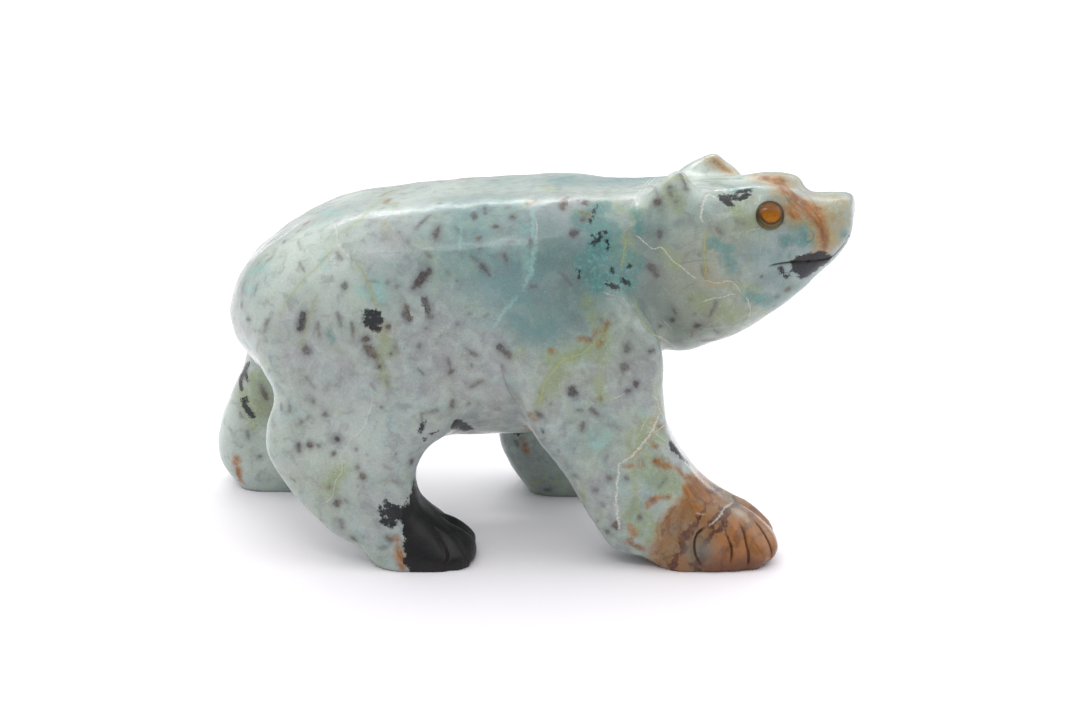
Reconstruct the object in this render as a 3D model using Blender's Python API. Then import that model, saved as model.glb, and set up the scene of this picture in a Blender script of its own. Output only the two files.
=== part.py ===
"""Turquoise bear carving: a walking bear cut from one stone, with an amber cabochon in each side of its face.

The bear faces +X with its left side to +Y and stands on z = 0. The stone is worked as a carver works it:
each mass is sawn to its side outline, its edges are rounded over and the masses melt into each other. Then
the soles are ground flat, and the mouth, the toes and the eye seats are cut.

The drawing's lengths are in parts, 112.6 of them to the bear's length, so that one part is a millimetre at
the real size. Drawing points are (along, up), with the nose towards larger values of along.
"""

import functools
import math

import bmesh
import bpy
import numpy as np
from mathutils import Vector

# Driving dimensions, in metres
LENGTH = 0.113
EYE_DIAMETER = 0.0048
EYE_SEAT_DEPTH = 0.0014
EYE_DOME_RISE = 0.0010
SETTING_GAP = 0.0003
TOE_CUT_WIDTH = 0.0012
TOE_CUT_DEPTH = 0.0010
MOUTH_WIDTH = 0.0009
MOUTH_DEPTH = 0.0008

# How finely the stone is cut
PARTS_IN_LENGTH = 112.6
PART = LENGTH / PARTS_IN_LENGTH
CUT_STEP = 0.5
STONE_FACES = 6800
SPLINE_STEPS = 5
STATION_EASE = (-4.0, -2.0, 0.0, 2.0, 4.0)
RASTER_STEP = 0.4
RASTER_MARGIN = 12.0
GRID_MARGIN_STEPS = 2
HALVINGS = 30
SHARP_ANGLE = math.radians(40)

# Rump, back and shoulder hump, then chest, belly and buttock
TORSO_OUTLINE = (
    (-52.8, 36.8), (-52.5, 41.6), (-50.2, 46.5), (-45.0, 51.1), (-36.2, 55.7), (-25.0, 58.1),
    (-10.0, 59.4), (3.0, 60.1), (12.0, 59.7), (20.0, 59.6), (26.0, 57.0), (26.0, 48.0),
    (23.4, 40.0), (21.2, 33.0), (12.5, 22.8), (2.0, 18.6), (-12.0, 17.8), (-26.0, 18.8),
    (-38.0, 21.6), (-45.4, 26.4), (-50.6, 32.2),
)
TORSO_HALF_WIDTH = (
    (-54, 18.5), (-40, 20.0), (-15, 20.0), (2, 19.8), (9, 18.0), (15, 14.4), (22, 11.0), (28, 8.5),
)
TORSO_EDGE = ((-54, 16.0), (-38, 12.5), (0, 11.5), (14, 8.5), (28, 7.0))
BELLY_ROUNDING = 3.0
BELLY_LINE = (40.0, 22.0)

# Head, from the nape over the forehead, the brow step and the nose, then lip, chin and jaw
HEAD_OUTLINE = (
    (-6.5, 40.0), (-8.0, 50.0), (-4.0, 58.0), (4.0, 60.6), (14.0, 61.0), (20.0, 60.4), (23.4, 59.8),
    (25.8, 59.4), (29.0, 59.5), (32.2, 59.7), (33.1, 58.5), (33.2, 55.5), (32.7, 52.7),
    (31.4, 50.4), (29.4, 47.8), (24.9, 43.0), (21.4, 39.9), (17.0, 36.9), (11.6, 34.0), (6.3, 31.9),
    (2.8, 32.0), (-2.0, 35.5),
)
HEAD_PIVOT = (20.0, 0.0)
HEAD_TURN = math.radians(-13)
HEAD_HALF_WIDTH = ((-6, 12.6), (4, 13.4), (12, 12.8), (18, 10.6), (24, 7.7), (29, 6.2), (33, 4.9))
HEAD_EDGE = ((-6, 9.0), (8, 8.5), (18, 6.4), (26, 4.8), (33, 3.6))
JAW_TAPER = 2.4
JAW_LINE = (54.0, 36.0)

# Each leg: side outline, then how its middle, half width and edge rounding change with height
NEAR_HIND_LEG = {
    "outline": (
        (-46.5, 34.0), (-47.0, 42.0), (-38.0, 49.0), (-22.0, 48.0), (-13.5, 40.0), (-12.5, 30.0),
        (-14.5, 22.5), (-18.6, 19.0), (-20.6, 15.5), (-20.9, 11.2), (-18.8, 8.1), (-14.4, 5.6),
        (-11.4, 3.2), (-10.7, 0.7), (-13.4, -2.0), (-18.0, -3.0), (-23.8, -2.7), (-27.2, -0.8),
        (-30.4, 2.7), (-34.4, 5.0), (-40.0, 10.2), (-43.4, 14.4), (-45.6, 18.5), (-45.6, 22.5),
        (-44.3, 27.6),
    ),
    "middle": ((-2, -19.5), (12, -17.5), (26, -14.4), (34, -12.6), (46, -9.0)),
    "half_width": ((0, 7.9), (8, 7.4), (14, 7.6), (26, 8.6), (34, 8.8), (46, 8.5)),
    "edge": ((0, 5.4), (10, 5.4), (24, 7.0), (44, 8.0)),
    "melt": 3.6,
}
NEAR_FORELEG = {
    "outline": (
        (-6.6, 40.0), (-7.4, 46.0), (-3.0, 51.5), (4.0, 52.5), (10.5, 49.5), (15.8, 43.5),
        (19.9, 36.2), (20.2, 29.8), (21.0, 23.4), (23.0, 19.0), (25.6, 15.2), (28.4, 12.2),
        (31.8, 9.9), (35.0, 8.5), (37.8, 6.3), (39.7, 3.8), (39.4, 1.6), (37.2, -0.6), (33.6, -2.2),
        (28.0, -3.0), (22.6, -2.4), (19.6, -0.3), (16.8, 1.4), (13.6, 2.2), (11.1, 4.0), (8.1, 8.0),
        (5.7, 12.0),
        (3.0, 16.4), (-1.2, 22.0), (-4.8, 30.0),
    ),
    "middle": ((-2, -19.6), (12, -17.5), (28, -14.8), (37, -12.6), (47, -9.6)),
    "half_width": ((0, 7.9), (8, 7.7), (14, 7.8), (28, 8.2), (37, 9.0), (47, 8.6)),
    "edge": ((0, 5.2), (10, 5.6), (22, 4.4), (40, 3.4), (47, 5.0)),
    "melt": 1.8,
}
FAR_HIND_LEG = {
    "outline": (
        (-52.4, 30.0), (-50.0, 38.0), (-38.0, 46.0), (-26.0, 42.0), (-23.0, 32.0), (-28.0, 23.0),
        (-36.0, 17.5), (-42.0, 14.0), (-43.8, 11.0), (-41.4, 8.6), (-37.4, 6.4), (-34.4, 3.8),
        (-33.9, 1.2), (-36.0, -2.0), (-43.0, -3.0), (-51.4, -2.7), (-55.4, -1.0), (-56.9, 1.4),
        (-59.0, 4.2), (-59.8, 7.6), (-58.9, 12.8), (-56.4, 18.8), (-53.8, 24.2),
    ),
    "middle": ((0, 18.1), (12, 18.0), (26, 14.4), (34, 12.6), (46, 9.0)),
    "half_width": ((0, 8.0), (8, 7.5), (14, 7.6), (26, 8.6), (34, 8.8), (46, 8.5)),
    "edge": ((0, 5.0), (10, 5.4), (24, 7.0), (44, 8.0)),
    "melt": 3.6,
}
FAR_FORELEG = {
    "outline": (
        (-6.0, 34.0), (-7.0, 42.0), (0.0, 50.0), (10.0, 50.0), (16.0, 43.0), (17.6, 32.0),
        (13.0, 23.0), (10.2, 16.0), (10.0, 12.0), (12.6, 9.2), (16.6, 7.0), (19.4, 4.2),
        (20.1, 1.4), (18.0, -2.0), (10.0, -3.0), (2.4, -2.7), (-1.4, -0.9), (-3.8, 2.4),
        (-6.2, 6.0), (-7.6, 10.0), (-7.2, 15.0), (-5.4, 22.0), (-4.6, 28.0),
    ),
    "middle": ((0, 15.6), (12, 15.6), (28, 14.4), (37, 12.6), (47, 9.6)),
    "half_width": ((0, 8.0), (8, 7.7), (14, 7.8), (28, 8.4), (37, 9.0), (47, 8.6)),
    "edge": ((0, 5.2), (10, 5.4), (22, 4.4), (40, 3.4), (47, 5.0)),
    "melt": 1.8,
}
LEGS = (NEAR_HIND_LEG, NEAR_FORELEG, FAR_HIND_LEG, FAR_FORELEG)

# Ears: side outline, middle, lean outwards with height, half thickness and edge rounding
NEAR_EAR = {
    "outline": (
        (14.2, 51.0), (15.6, 56.4), (18.6, 61.0), (22.5, 64.4), (24.9, 62.2), (27.0, 58.0),
        (25.0, 52.0), (19.0, 48.0),
    ),
    "middle": ((47, -9.6), (53, -10.8), (58, -11.1), (65, -9.8)),
    "half_width": ((47, 2.0), (53, 2.8), (58, 3.0), (65, 1.9)),
    "edge": ((47, 1.8), (65, 1.7)),
    "melt": 2.4,
}
FAR_EAR = {
    "outline": (
        (21.0, 55.0), (24.0, 60.2), (27.0, 62.6), (30.2, 64.0), (31.9, 62.6), (34.6, 60.2),
        (34.0, 56.0), (28.0, 51.0),
    ),
    "middle": ((50, 9.4), (65, 7.4)),
    "half_width": ((50, 3.4), (65, 2.6)),
    "edge": ((50, 2.2), (65, 2.2)),
    "melt": 2.6,
}

EARS = (NEAR_EAR, FAR_EAR)

# Brow ridge over each eye, +1 for the left one: middle and half sizes of a long oval lobe, in the head's
# own frame (along, left, up)
BROWS = {
    1: ((19.1, 5.5, 59.1), (4.9, 3.2, 2.6)),
    -1: ((19.0, -5.0, 59.2), (4.8, 2.8, 2.6)),
}
BROW_SQUARENESS = 3

# Fillets where the head meets the neck and the brows meet the forehead
NECK_MELT = 2.6
BROW_MELT = 1.4

# Mouth line in the head's frame, from the corner of the mouth to the lip, and its turn round the muzzle
MOUTH_LINE = ((19.6, 48.4), (24.3, 49.6), (28.4, 49.9), (31.2, 51.2), (34.0, 54.4))
MOUTH_CENTRE = 22.0
MOUTH_TURN = math.radians(103)
MOUTH_STATIONS = 23
MOUTH_RUN_IN = 4

# Toe cuts fan out over each paw from a point inside it, at these angles from straight ahead, in degrees
TOE_FANS = (
    ((-20.4, -18.0), (-56, -26, 8, 40)),
    ((28.6, -17.4), (-104, -72, -58, -38, 0, 36)),
    ((-43.4, 18.6), (-44, -12, 18, 48)),
    ((10.4, 16.2), (-46, -15, 15, 46)),
)
TOE_FAN_HEIGHT = 1.2
TOE_CUT_RISE = math.radians(66)
TOE_CUT_DROP = math.radians(16)
TOE_CUT_STATIONS = 8
TOE_CUT_RUN_IN = 2

# Blades that cut the lines: share of their size at the start of a run-in, and how far they stand proud
BLADE_TIP = 0.2
BLADE_CLEAR = 0.5
SEARCH_REACH = 16.0

# Each eye is set into the side of its brow, a little towards the nose and below the brow's middle
EYE_AHEAD_OF_BROW = 1.1
EYE_BELOW_BROW = 1.7
EYE_SEGMENTS = 32
EYE_RINGS = 5

GLASS_AMBER = (0.42, 0.16, 0.03, 1.0)
STONE_GREEN = (0.34, 0.42, 0.38, 1.0)


def clear_scene():
    """Removes every object that the scene starts with."""
    for thing in list(bpy.data.objects):
        bpy.data.objects.remove(thing, do_unlink=True)


def finish(name, colour, roughness):
    """A Principled material with one colour and one roughness."""
    material = bpy.data.materials.new(name)
    material.use_nodes = True
    shader = material.node_tree.nodes["Principled BSDF"]
    shader.inputs["Base Color"].default_value = colour
    shader.inputs["Roughness"].default_value = roughness
    shader.inputs["Metallic"].default_value = 0.0
    return material


def smooth_outline(points):
    """Closed outline through the points: each stretch is a Catmull-Rom arc of a few straight steps."""
    p = np.array(points, float)
    before, after, beyond = np.roll(p, 1, axis=0), np.roll(p, -1, axis=0), np.roll(p, -2, axis=0)
    t = (np.arange(SPLINE_STEPS) / SPLINE_STEPS)[None, :, None]
    a, b, c, d = (q[:, None, :] for q in (before, p, after, beyond))
    arcs = 0.5 * (2 * b + (c - a) * t + (2 * a - 5 * b + 4 * c - d) * t**2 + (3 * b - a - 3 * c + d) * t**3)
    return arcs.reshape(-1, 2)


def outline_distance(outline, along, up):
    """Distance from points to a closed outline, below zero inside it, over each straight step of it."""
    near = np.full(np.broadcast(along, up).shape, np.inf)
    inside = np.zeros(near.shape, bool)
    for (a0, u0), (a1, u1) in zip(outline, np.roll(outline, -1, axis=0)):
        da, du = a1 - a0, u1 - u0
        share = np.clip(((along - a0) * da + (up - u0) * du) / (da * da + du * du), 0, 1)
        near = np.minimum(near, (along - a0 - share * da) ** 2 + (up - u0 - share * du) ** 2)
        if du != 0:
            crosses = (up < u0) != (up < u1)
            inside ^= crosses & (along < a0 + (up - u0) * da / du)
    return np.where(inside, -1, 1) * np.sqrt(near)


@functools.lru_cache(maxsize=None)
def raster(points):
    """Distances to the smooth outline through the points, on a square raster, and its first corner."""
    outline = smooth_outline(points)
    low = outline.min(axis=0) - RASTER_MARGIN
    high = outline.max(axis=0) + RASTER_MARGIN
    along, up = (np.arange(a, b + RASTER_STEP, RASTER_STEP) for a, b in zip(low, high))
    return outline_distance(outline, along[:, None], up[None, :]), low


def side_distance(points, along, up):
    """Distance to a smooth outline, read off its raster between the four nearest places."""
    table, low = raster(points)
    a = np.clip((along - low[0]) / RASTER_STEP, 0, table.shape[0] - 1.001)
    u = np.clip((up - low[1]) / RASTER_STEP, 0, table.shape[1] - 1.001)
    i, k = a.astype(int), u.astype(int)
    a, u = a - i, u - k
    lower = table[i, k] * (1 - a) + table[i + 1, k] * a
    upper = table[i, k + 1] * (1 - a) + table[i + 1, k + 1] * a
    return lower * (1 - u) + upper * u


def stations(at, table):
    """Value at each place along a table of (place, value) pairs, eased at corners, level past its ends."""
    places, values = zip(*table)
    return sum(np.interp(at + ease, places, values) for ease in STATION_EASE) / len(STATION_EASE)


def rounded(side, across, edge):
    """Distance to a mass sawn to one side outline and one width, with its edges rounded over."""
    a, b = side + edge, across + edge
    return np.hypot(np.maximum(a, 0), np.maximum(b, 0)) + np.minimum(np.maximum(a, b), 0) - edge


def melt(one, other, reach):
    """Joins two masses with a fillet that starts about this far from both."""
    overlap = np.maximum(reach - np.abs(one - other), 0) / reach
    return np.minimum(one, other) - overlap**2 * reach / 4


def torso(x, y, z):
    """Rump, barrel and shoulders, whose width changes along the back."""
    side = side_distance(TORSO_OUTLINE, x, z)
    below = np.clip((BELLY_LINE[0] - z) / (BELLY_LINE[0] - BELLY_LINE[1]), 0, 1)
    edge = stations(x, TORSO_EDGE) + BELLY_ROUNDING * below
    return rounded(side, np.abs(y) - stations(x, TORSO_HALF_WIDTH), edge)


def upright_mass(shape, x, y, z):
    """A leg or an ear, whose middle and width change with height."""
    side = side_distance(shape["outline"], x, z)
    across = np.abs(y - stations(z, shape["middle"])) - stations(z, shape["half_width"])
    return rounded(side, across, stations(z, shape["edge"]))


def to_head(x, y):
    """Turns drawing points into the head's own frame: along the face, and to its left."""
    dx, dy = x - HEAD_PIVOT[0], y - HEAD_PIVOT[1]
    cos, sin = math.cos(HEAD_TURN), math.sin(HEAD_TURN)
    return dx * cos + dy * sin, dy * cos - dx * sin


def from_head(along, left, up):
    """Turns points of the head's own frame back into drawing points."""
    cos, sin = math.cos(HEAD_TURN), math.sin(HEAD_TURN)
    return HEAD_PIVOT[0] + along * cos - left * sin, HEAD_PIVOT[1] + along * sin + left * cos, up


def head(x, y, z):
    """Head and muzzle, with a ridge over each eye."""
    along, left = to_head(x, y)
    side = side_distance(HEAD_OUTLINE, along, z)
    jaw = np.clip((JAW_LINE[0] - z) / (JAW_LINE[0] - JAW_LINE[1]), 0, 1)
    half_width = stations(along, HEAD_HALF_WIDTH) - JAW_TAPER * jaw
    mass = rounded(side, np.abs(left) - half_width, stations(along, HEAD_EDGE))
    for (a, b, c), (half_a, half_b, half_c) in BROWS.values():
        shares = np.abs((along - a) / half_a), np.abs((left - b) / half_b), np.abs((z - c) / half_c)
        lobe = sum(share**BROW_SQUARENESS for share in shares) ** (1 / BROW_SQUARENESS) - 1
        mass = melt(mass, lobe * min(half_a, half_b, half_c), BROW_MELT)
    return mass


def stone(x, y, z):
    """Distance in parts from drawing points to the bear's surface, below zero in the stone."""
    mass = torso(x, y, z)
    for leg in LEGS:
        mass = melt(mass, upright_mass(leg, x, y, z), leg["melt"])
    mass = melt(mass, head(x, y, z), NECK_MELT)
    for ear in EARS:
        mass = melt(mass, upright_mass(ear, x, y, z), ear["melt"])
    return mass


def surface_along(path, reach):
    """Points where paths that start in the stone leave it. A path turns distances into drawing points."""
    near, far = np.zeros(reach.shape), reach
    for _ in range(HALVINGS):
        middle = (near + far) / 2
        inside = stone(*path(middle)) < 0
        near, far = np.where(inside, middle, near), np.where(inside, far, middle)
    return np.stack(path(near), axis=1)


def outward(points, reach):
    """Unit directions straight out of the stone, from the field this far to each side of the points."""
    steps = np.eye(3) * reach
    slope = np.stack([stone(*(points + step).T) - stone(*(points - step).T) for step in steps], axis=1)
    return slope / np.linalg.norm(slope, axis=1)[:, None]


def mouth_line():
    """Points of the mouth line, from the right corner of the mouth round the muzzle to the left one."""
    turn = np.linspace(-MOUTH_TURN, MOUTH_TURN, MOUTH_STATIONS)
    places, heights = zip(*MOUTH_LINE)

    def path(distance):
        along = MOUTH_CENTRE + distance * np.cos(turn)
        return from_head(along, distance * np.sin(turn), np.interp(along, places, heights))

    return surface_along(path, np.full(turn.shape, SEARCH_REACH))


def toe_line(fan_x, fan_y, angle):
    """Points of one toe cut, from the top of the paw down over the toes to the sole."""
    rise = np.linspace(TOE_CUT_RISE, -TOE_CUT_DROP, TOE_CUT_STATIONS)

    def path(distance):
        out = distance * np.cos(rise)
        up = TOE_FAN_HEIGHT + distance * np.sin(rise)
        return fan_x + out * math.cos(angle), fan_y + out * math.sin(angle), up

    return surface_along(path, np.full(rise.shape, SEARCH_REACH))


def blade(shape, points, share, width, depth):
    """Adds a wedge that cuts a V along a line on the stone, at shares of its full width and depth."""
    normal = outward(points, CUT_STEP)
    side = np.cross(np.gradient(points, axis=0), normal)
    side /= np.linalg.norm(side, axis=1)[:, None]
    deep = (depth / PART * share)[:, None]
    spread = (width / PART / 2 * share)[:, None] * (1 + BLADE_CLEAR / deep)
    top = points + normal * BLADE_CLEAR
    rings = np.stack([points - normal * deep, top + side * spread, top - side * spread], axis=1) * PART
    corners = [[shape.verts.new(corner) for corner in ring] for ring in rings]
    for here, there in zip(corners, corners[1:]):
        for k in range(3):
            n = (k + 1) % 3
            shape.faces.new((here[k], here[n], there[n], there[k]))
    shape.faces.new(corners[0][::-1])
    shape.faces.new(corners[-1])


def skin(field, corner, step):
    """Points and four-sided faces where a field on a grid of cells passes through zero.

    Each cell that the surface passes through gets one point, at the mean of the places where its edges
    cross, and each grid edge that crosses gets a face through the four cells round it.
    """
    cells = tuple(n - 1 for n in field.shape)
    total, count = np.zeros(cells + (3,)), np.zeros(cells)
    crossings = []
    for axis in range(3):
        low = np.take(field, range(field.shape[axis] - 1), axis)
        high = np.take(field, range(1, field.shape[axis]), axis)
        crossing = (low < 0) != (high < 0)
        share = np.where(crossing, low / np.where(crossing, low - high, 1), 0)
        crossings.append((crossing, low < 0))
        others = [other for other in range(3) if other != axis]
        for first in (0, 1):
            for second in (0, 1):
                window = [slice(None)] * 3
                window[others[0]] = slice(first, first + cells[others[0]])
                window[others[1]] = slice(second, second + cells[others[1]])
                hit = crossing[tuple(window)]
                count += hit
                total[..., axis] += share[tuple(window)]
                total[..., others[0]] += first * hit
                total[..., others[1]] += second * hit
    used = count > 0
    number = np.full(cells, -1)
    number[used] = np.arange(used.sum())
    points = np.array(corner) + (np.argwhere(used) + total[used] / count[used][:, None]) * step
    faces = []
    for axis, (crossing, starts_inside) in enumerate(crossings):
        others = [(axis + 1) % 3, (axis + 2) % 3]
        places = np.argwhere(crossing)
        ring = []
        for first, second in ((1, 1), (0, 1), (0, 0), (1, 0)):
            cell = places.copy()
            cell[:, others[0]] -= first
            cell[:, others[1]] -= second
            ring.append(number[tuple(cell.T)])
        ring = np.stack(ring, axis=1)
        outwards = starts_inside[crossing]
        faces.append(np.where(outwards[:, None], ring, ring[:, ::-1]))
    return points, np.concatenate(faces)


def grid(outlines, half_width, step):
    """Grid planes along x, y and z that hold the whole drawing with a margin to spare."""
    points = np.concatenate([np.array(outline) for outline in outlines])
    margin = GRID_MARGIN_STEPS * step
    low = np.array((points[:, 0].min(), -half_width, points[:, 1].min())) - margin
    high = np.array((points[:, 0].max(), half_width, points[:, 1].max())) + margin
    return [np.arange(a, b + step, step) for a, b in zip(low, high)]


def mesh_object(name, points, faces, material):
    """A mesh object with this name and one material, shaded smooth."""
    mesh = bpy.data.meshes.new(name)
    mesh.from_pydata([tuple(p) for p in points], [], [tuple(f) for f in faces])
    mesh.materials.append(material)
    mesh.shade_smooth()
    thing = bpy.data.objects.new(name, mesh)
    bpy.context.scene.collection.objects.link(thing)
    return thing


def helper(thing):
    """Keeps a cutter out of the finished object."""
    thing.hide_render = True
    thing.display_type = "WIRE"
    return thing


def cut_with(thing, cutter, name):
    """Takes the cutter's volume out of the thing."""
    boolean = thing.modifiers.new(name, "BOOLEAN")
    boolean.operation = "DIFFERENCE"
    boolean.solver = "EXACT"
    boolean.object = cutter


def floor_block(size):
    """A block whose top face is the plane that the soles stand on."""
    mesh = bpy.data.meshes.new("floor_cutter")
    shape = bmesh.new()
    bmesh.ops.create_cube(shape, size=size)
    shape.to_mesh(mesh)
    shape.free()
    block = bpy.data.objects.new("floor_cutter", mesh)
    block.location.z = -size / 2
    bpy.context.scene.collection.objects.link(block)
    return helper(block)


def line_cutter(shift):
    """The blades of the mouth line and of every toe cut, as one cutter."""
    shape = bmesh.new()
    station = np.arange(MOUTH_STATIONS)
    from_corner = np.minimum(station, station[::-1])
    run_in = np.clip(from_corner / MOUTH_RUN_IN, BLADE_TIP, 1)
    blade(shape, mouth_line(), run_in, MOUTH_WIDTH, MOUTH_DEPTH)
    run_in = np.clip(np.arange(TOE_CUT_STATIONS) / TOE_CUT_RUN_IN, BLADE_TIP, 1)
    for (fan_x, fan_y), angles in TOE_FANS:
        for angle in angles:
            line = toe_line(fan_x, fan_y, math.radians(angle))
            blade(shape, line, run_in, TOE_CUT_WIDTH, TOE_CUT_DEPTH)
    bmesh.ops.recalc_face_normals(shape, faces=shape.faces)
    mesh = bpy.data.meshes.new("line_cutter")
    shape.to_mesh(mesh)
    shape.free()
    blades = bpy.data.objects.new("line_cutter", mesh)
    blades.location = shift * PART
    bpy.context.scene.collection.objects.link(blades)
    return helper(blades)


def eye_seat(side):
    """Place on the face and outward direction of the eye on this side, +1 for left, as drawing vectors."""
    (brow_along, _, brow_up), _ = BROWS[side]

    def path(left):
        along = brow_along + EYE_AHEAD_OF_BROW + 0 * left
        return from_head(along, side * left, brow_up - EYE_BELOW_BROW + 0 * left)

    place = surface_along(path, np.array([SEARCH_REACH]))
    return Vector(place[0]), Vector(outward(place, EYE_DIAMETER / PART / 2)[0])


def turned(name, profile, segments, place, direction, material):
    """A closed solid turned from (radius, height) points, with its axis stood at a place on the face."""
    angles = np.arange(segments) * 2 * math.pi / segments
    shape = bmesh.new()
    rings = [[shape.verts.new((r * math.cos(a), r * math.sin(a), h)) for a in angles] for r, h in profile]
    for lower, upper in zip(rings, rings[1:]):
        for k in range(segments):
            n = (k + 1) % segments
            shape.faces.new((lower[k], lower[n], upper[n], upper[k]))
    shape.faces.new(rings[0][::-1])
    shape.faces.new(rings[-1])
    mesh = bpy.data.meshes.new(name)
    shape.to_mesh(mesh)
    shape.free()
    mesh.materials.append(material)
    mesh.shade_smooth()
    mesh.set_sharp_from_angle(angle=SHARP_ANGLE)
    thing = bpy.data.objects.new(name, mesh)
    thing.location = place
    thing.rotation_mode = "QUATERNION"
    thing.rotation_quaternion = direction.to_track_quat("Z", "Y")
    bpy.context.scene.collection.objects.link(thing)
    return thing


def add_eye(name, side, bear, shift, glass):
    """Drills a seat in one side of the face and sets a domed cabochon in it, clear by the setting gap."""
    place, direction = eye_seat(side)
    place = (place + shift) * PART
    seat_radius = EYE_DIAMETER / 2
    radius = seat_radius - SETTING_GAP
    bore = ((seat_radius, -EYE_SEAT_DEPTH), (seat_radius, EYE_DIAMETER))
    drill = turned(name + "_drill", bore, EYE_SEGMENTS, place, direction, glass)
    cut_with(bear, helper(drill), name + "_seat")
    floor = SETTING_GAP - EYE_SEAT_DEPTH
    profile = [(radius, floor)]
    for k in range(EYE_RINGS):
        turn = 0.5 * math.pi * k / EYE_RINGS
        profile.append((radius * math.cos(turn), EYE_DOME_RISE * math.sin(turn)))
    return turned(name, profile, EYE_SEGMENTS, place, direction, glass)


def build_stone(material):
    """The whole bear in drawing parts, shifted so that its box stands centred on the origin."""
    outlines = [TORSO_OUTLINE] + [mass["outline"] for mass in LEGS + EARS]
    outlines.append([(from_head(along, 0, up)[0], up) for along, up in HEAD_OUTLINE])
    half_width = max(abs(middle) + wide for leg in LEGS
                     for (_, middle), (_, wide) in zip(leg["middle"], leg["half_width"]))
    xs, ys, zs = grid(outlines, half_width, CUT_STEP)
    field = stone(xs[:, None, None], ys[None, :, None], zs[None, None, :])
    points, faces = skin(field, (xs[0], ys[0], zs[0]), CUT_STEP)
    standing = points[points[:, 2] > 0]
    middle = (standing.min(axis=0) + standing.max(axis=0)) / 2
    shift = Vector((-middle[0], -middle[1], 0))
    bear = mesh_object("bear", (points + np.array(shift)) * PART, faces, material)
    return bear, shift


def main():
    clear_scene()
    turquoise = finish("turquoise_stone", STONE_GREEN, 0.25)
    amber = finish("amber_cabochon", GLASS_AMBER, 0.08)
    bear, shift = build_stone(turquoise)
    even = bear.modifiers.new("even_faces", "REMESH")
    even.mode = "VOXEL"
    even.voxel_size = CUT_STEP * PART
    even.use_smooth_shade = True
    thin = bear.modifiers.new("fewer_faces", "DECIMATE")
    thin.ratio = STONE_FACES / (2 * len(bear.data.polygons))
    thin.use_collapse_triangulate = True
    cut_with(bear, floor_block(2 * LENGTH), "flat_soles")
    cut_with(bear, line_cutter(shift), "mouth_and_toes")
    add_eye("eye_right", -1, bear, shift, amber)
    add_eye("eye_left", 1, bear, shift, amber)


main()
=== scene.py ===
"""The looks of the turquoise bear carving: a polished, mottled stone with amber cabochon eyes.

The stone's surface is the frame's bear, remeshed finely, smoothed to a polish and cut again with crisp
mouth and toe lines. What colours the stone is drawn as strokes: grains, zones, veins and cracks, each a
short list of pixels of the 1080 x 720 view, laid on the stone from there. Each point of the mesh then knows
its distance to them, and the material turns the distances into colour. All lengths here are millimetres,
except in the frame's own calls, meshes and lights, which are in metres.
"""

import math

import bmesh
import bpy
import numpy as np
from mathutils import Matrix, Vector
from mathutils.bvhtree import BVHTree


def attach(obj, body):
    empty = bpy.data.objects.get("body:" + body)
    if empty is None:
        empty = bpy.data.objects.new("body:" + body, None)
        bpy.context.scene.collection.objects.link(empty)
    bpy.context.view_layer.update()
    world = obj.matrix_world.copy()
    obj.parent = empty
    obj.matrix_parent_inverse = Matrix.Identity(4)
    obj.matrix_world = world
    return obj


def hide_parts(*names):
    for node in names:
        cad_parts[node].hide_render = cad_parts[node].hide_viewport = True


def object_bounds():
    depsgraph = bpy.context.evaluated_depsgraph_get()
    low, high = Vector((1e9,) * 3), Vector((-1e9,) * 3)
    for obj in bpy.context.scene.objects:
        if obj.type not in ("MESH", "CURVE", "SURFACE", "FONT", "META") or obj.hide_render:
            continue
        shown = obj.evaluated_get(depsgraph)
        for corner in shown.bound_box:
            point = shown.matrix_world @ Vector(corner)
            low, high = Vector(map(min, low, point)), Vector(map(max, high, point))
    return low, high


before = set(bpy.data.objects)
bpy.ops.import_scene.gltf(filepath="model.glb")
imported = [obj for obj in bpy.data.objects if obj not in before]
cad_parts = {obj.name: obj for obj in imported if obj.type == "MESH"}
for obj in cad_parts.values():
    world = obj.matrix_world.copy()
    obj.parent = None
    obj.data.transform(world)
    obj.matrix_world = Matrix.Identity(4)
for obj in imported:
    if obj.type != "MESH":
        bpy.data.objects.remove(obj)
cad_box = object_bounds()

MM = 0.001

# The view: a camera that looks along +Y and down, aimed at the middle of the bear
VIEW_WIDTH = 1080
VIEW_HEIGHT = 720
FOCAL_PIXELS = 1883.0
SENSOR_MM = 36.0
CAMERA_PITCH = math.radians(17)
CAMERA_AIM = (3.49, 0.457, 28.88)
CAMERA_DISTANCE = 330.0
PIXEL = CAMERA_DISTANCE / FOCAL_PIXELS

# How finely the stone is meshed and smoothed
SKIN_STEP = 0.6
BODY_PASSES = 73
HEAD_PASSES = 11
SMOOTH_IN = 0.5
SMOOTH_OUT = -0.508
SOLE_HEIGHT = 0.12
FINE_REACHES = (1.25, 0.6)

# Waviness that hand polishing leaves: wavelength, height and seed. It comes in above the soles between two
# heights
POLISH_WAVES = ((14.0, 0.07, 3), (6.0, 0.04, 4), (2.6, 0.01, 5))
POLISH_START = (0.2, 2.5)
WAVE_COUNT = 28

# The head's own turn, which the far side of the mouth repeats, and where the finer carving starts
HEAD_PIVOT = (23.49, 0.457)
HEAD_TURN = math.radians(-13)
HEAD_START = (19.0, 27.0)
HEAD_HEIGHT = (34.0, 42.0)

# Grains and lines are shared out over a few groups, so that near ones don't meet in one group. Beyond
# GRAIN_MARGIN from any grain the half width is stored as -FAR, so that nothing shows
GROUPS = 5
GRAIN_GAP = 3.0
GRAIN_MARGIN = 1.3
FAR = 50.0
LINE_GAP = 2.3
LINE_STEP = 2.0
LINE_FADE = (0.75, 1.1)
LINE_RUN_IN = 1.5
LINE_PIXEL_STEP = 3.0
ZONE_FAR = 4.0

# A spot is hidden from the view when something stands this far before it. None is taken near the floor
HIDDEN_BY = 1.5
LOWEST_SPOT = 1.0

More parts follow.
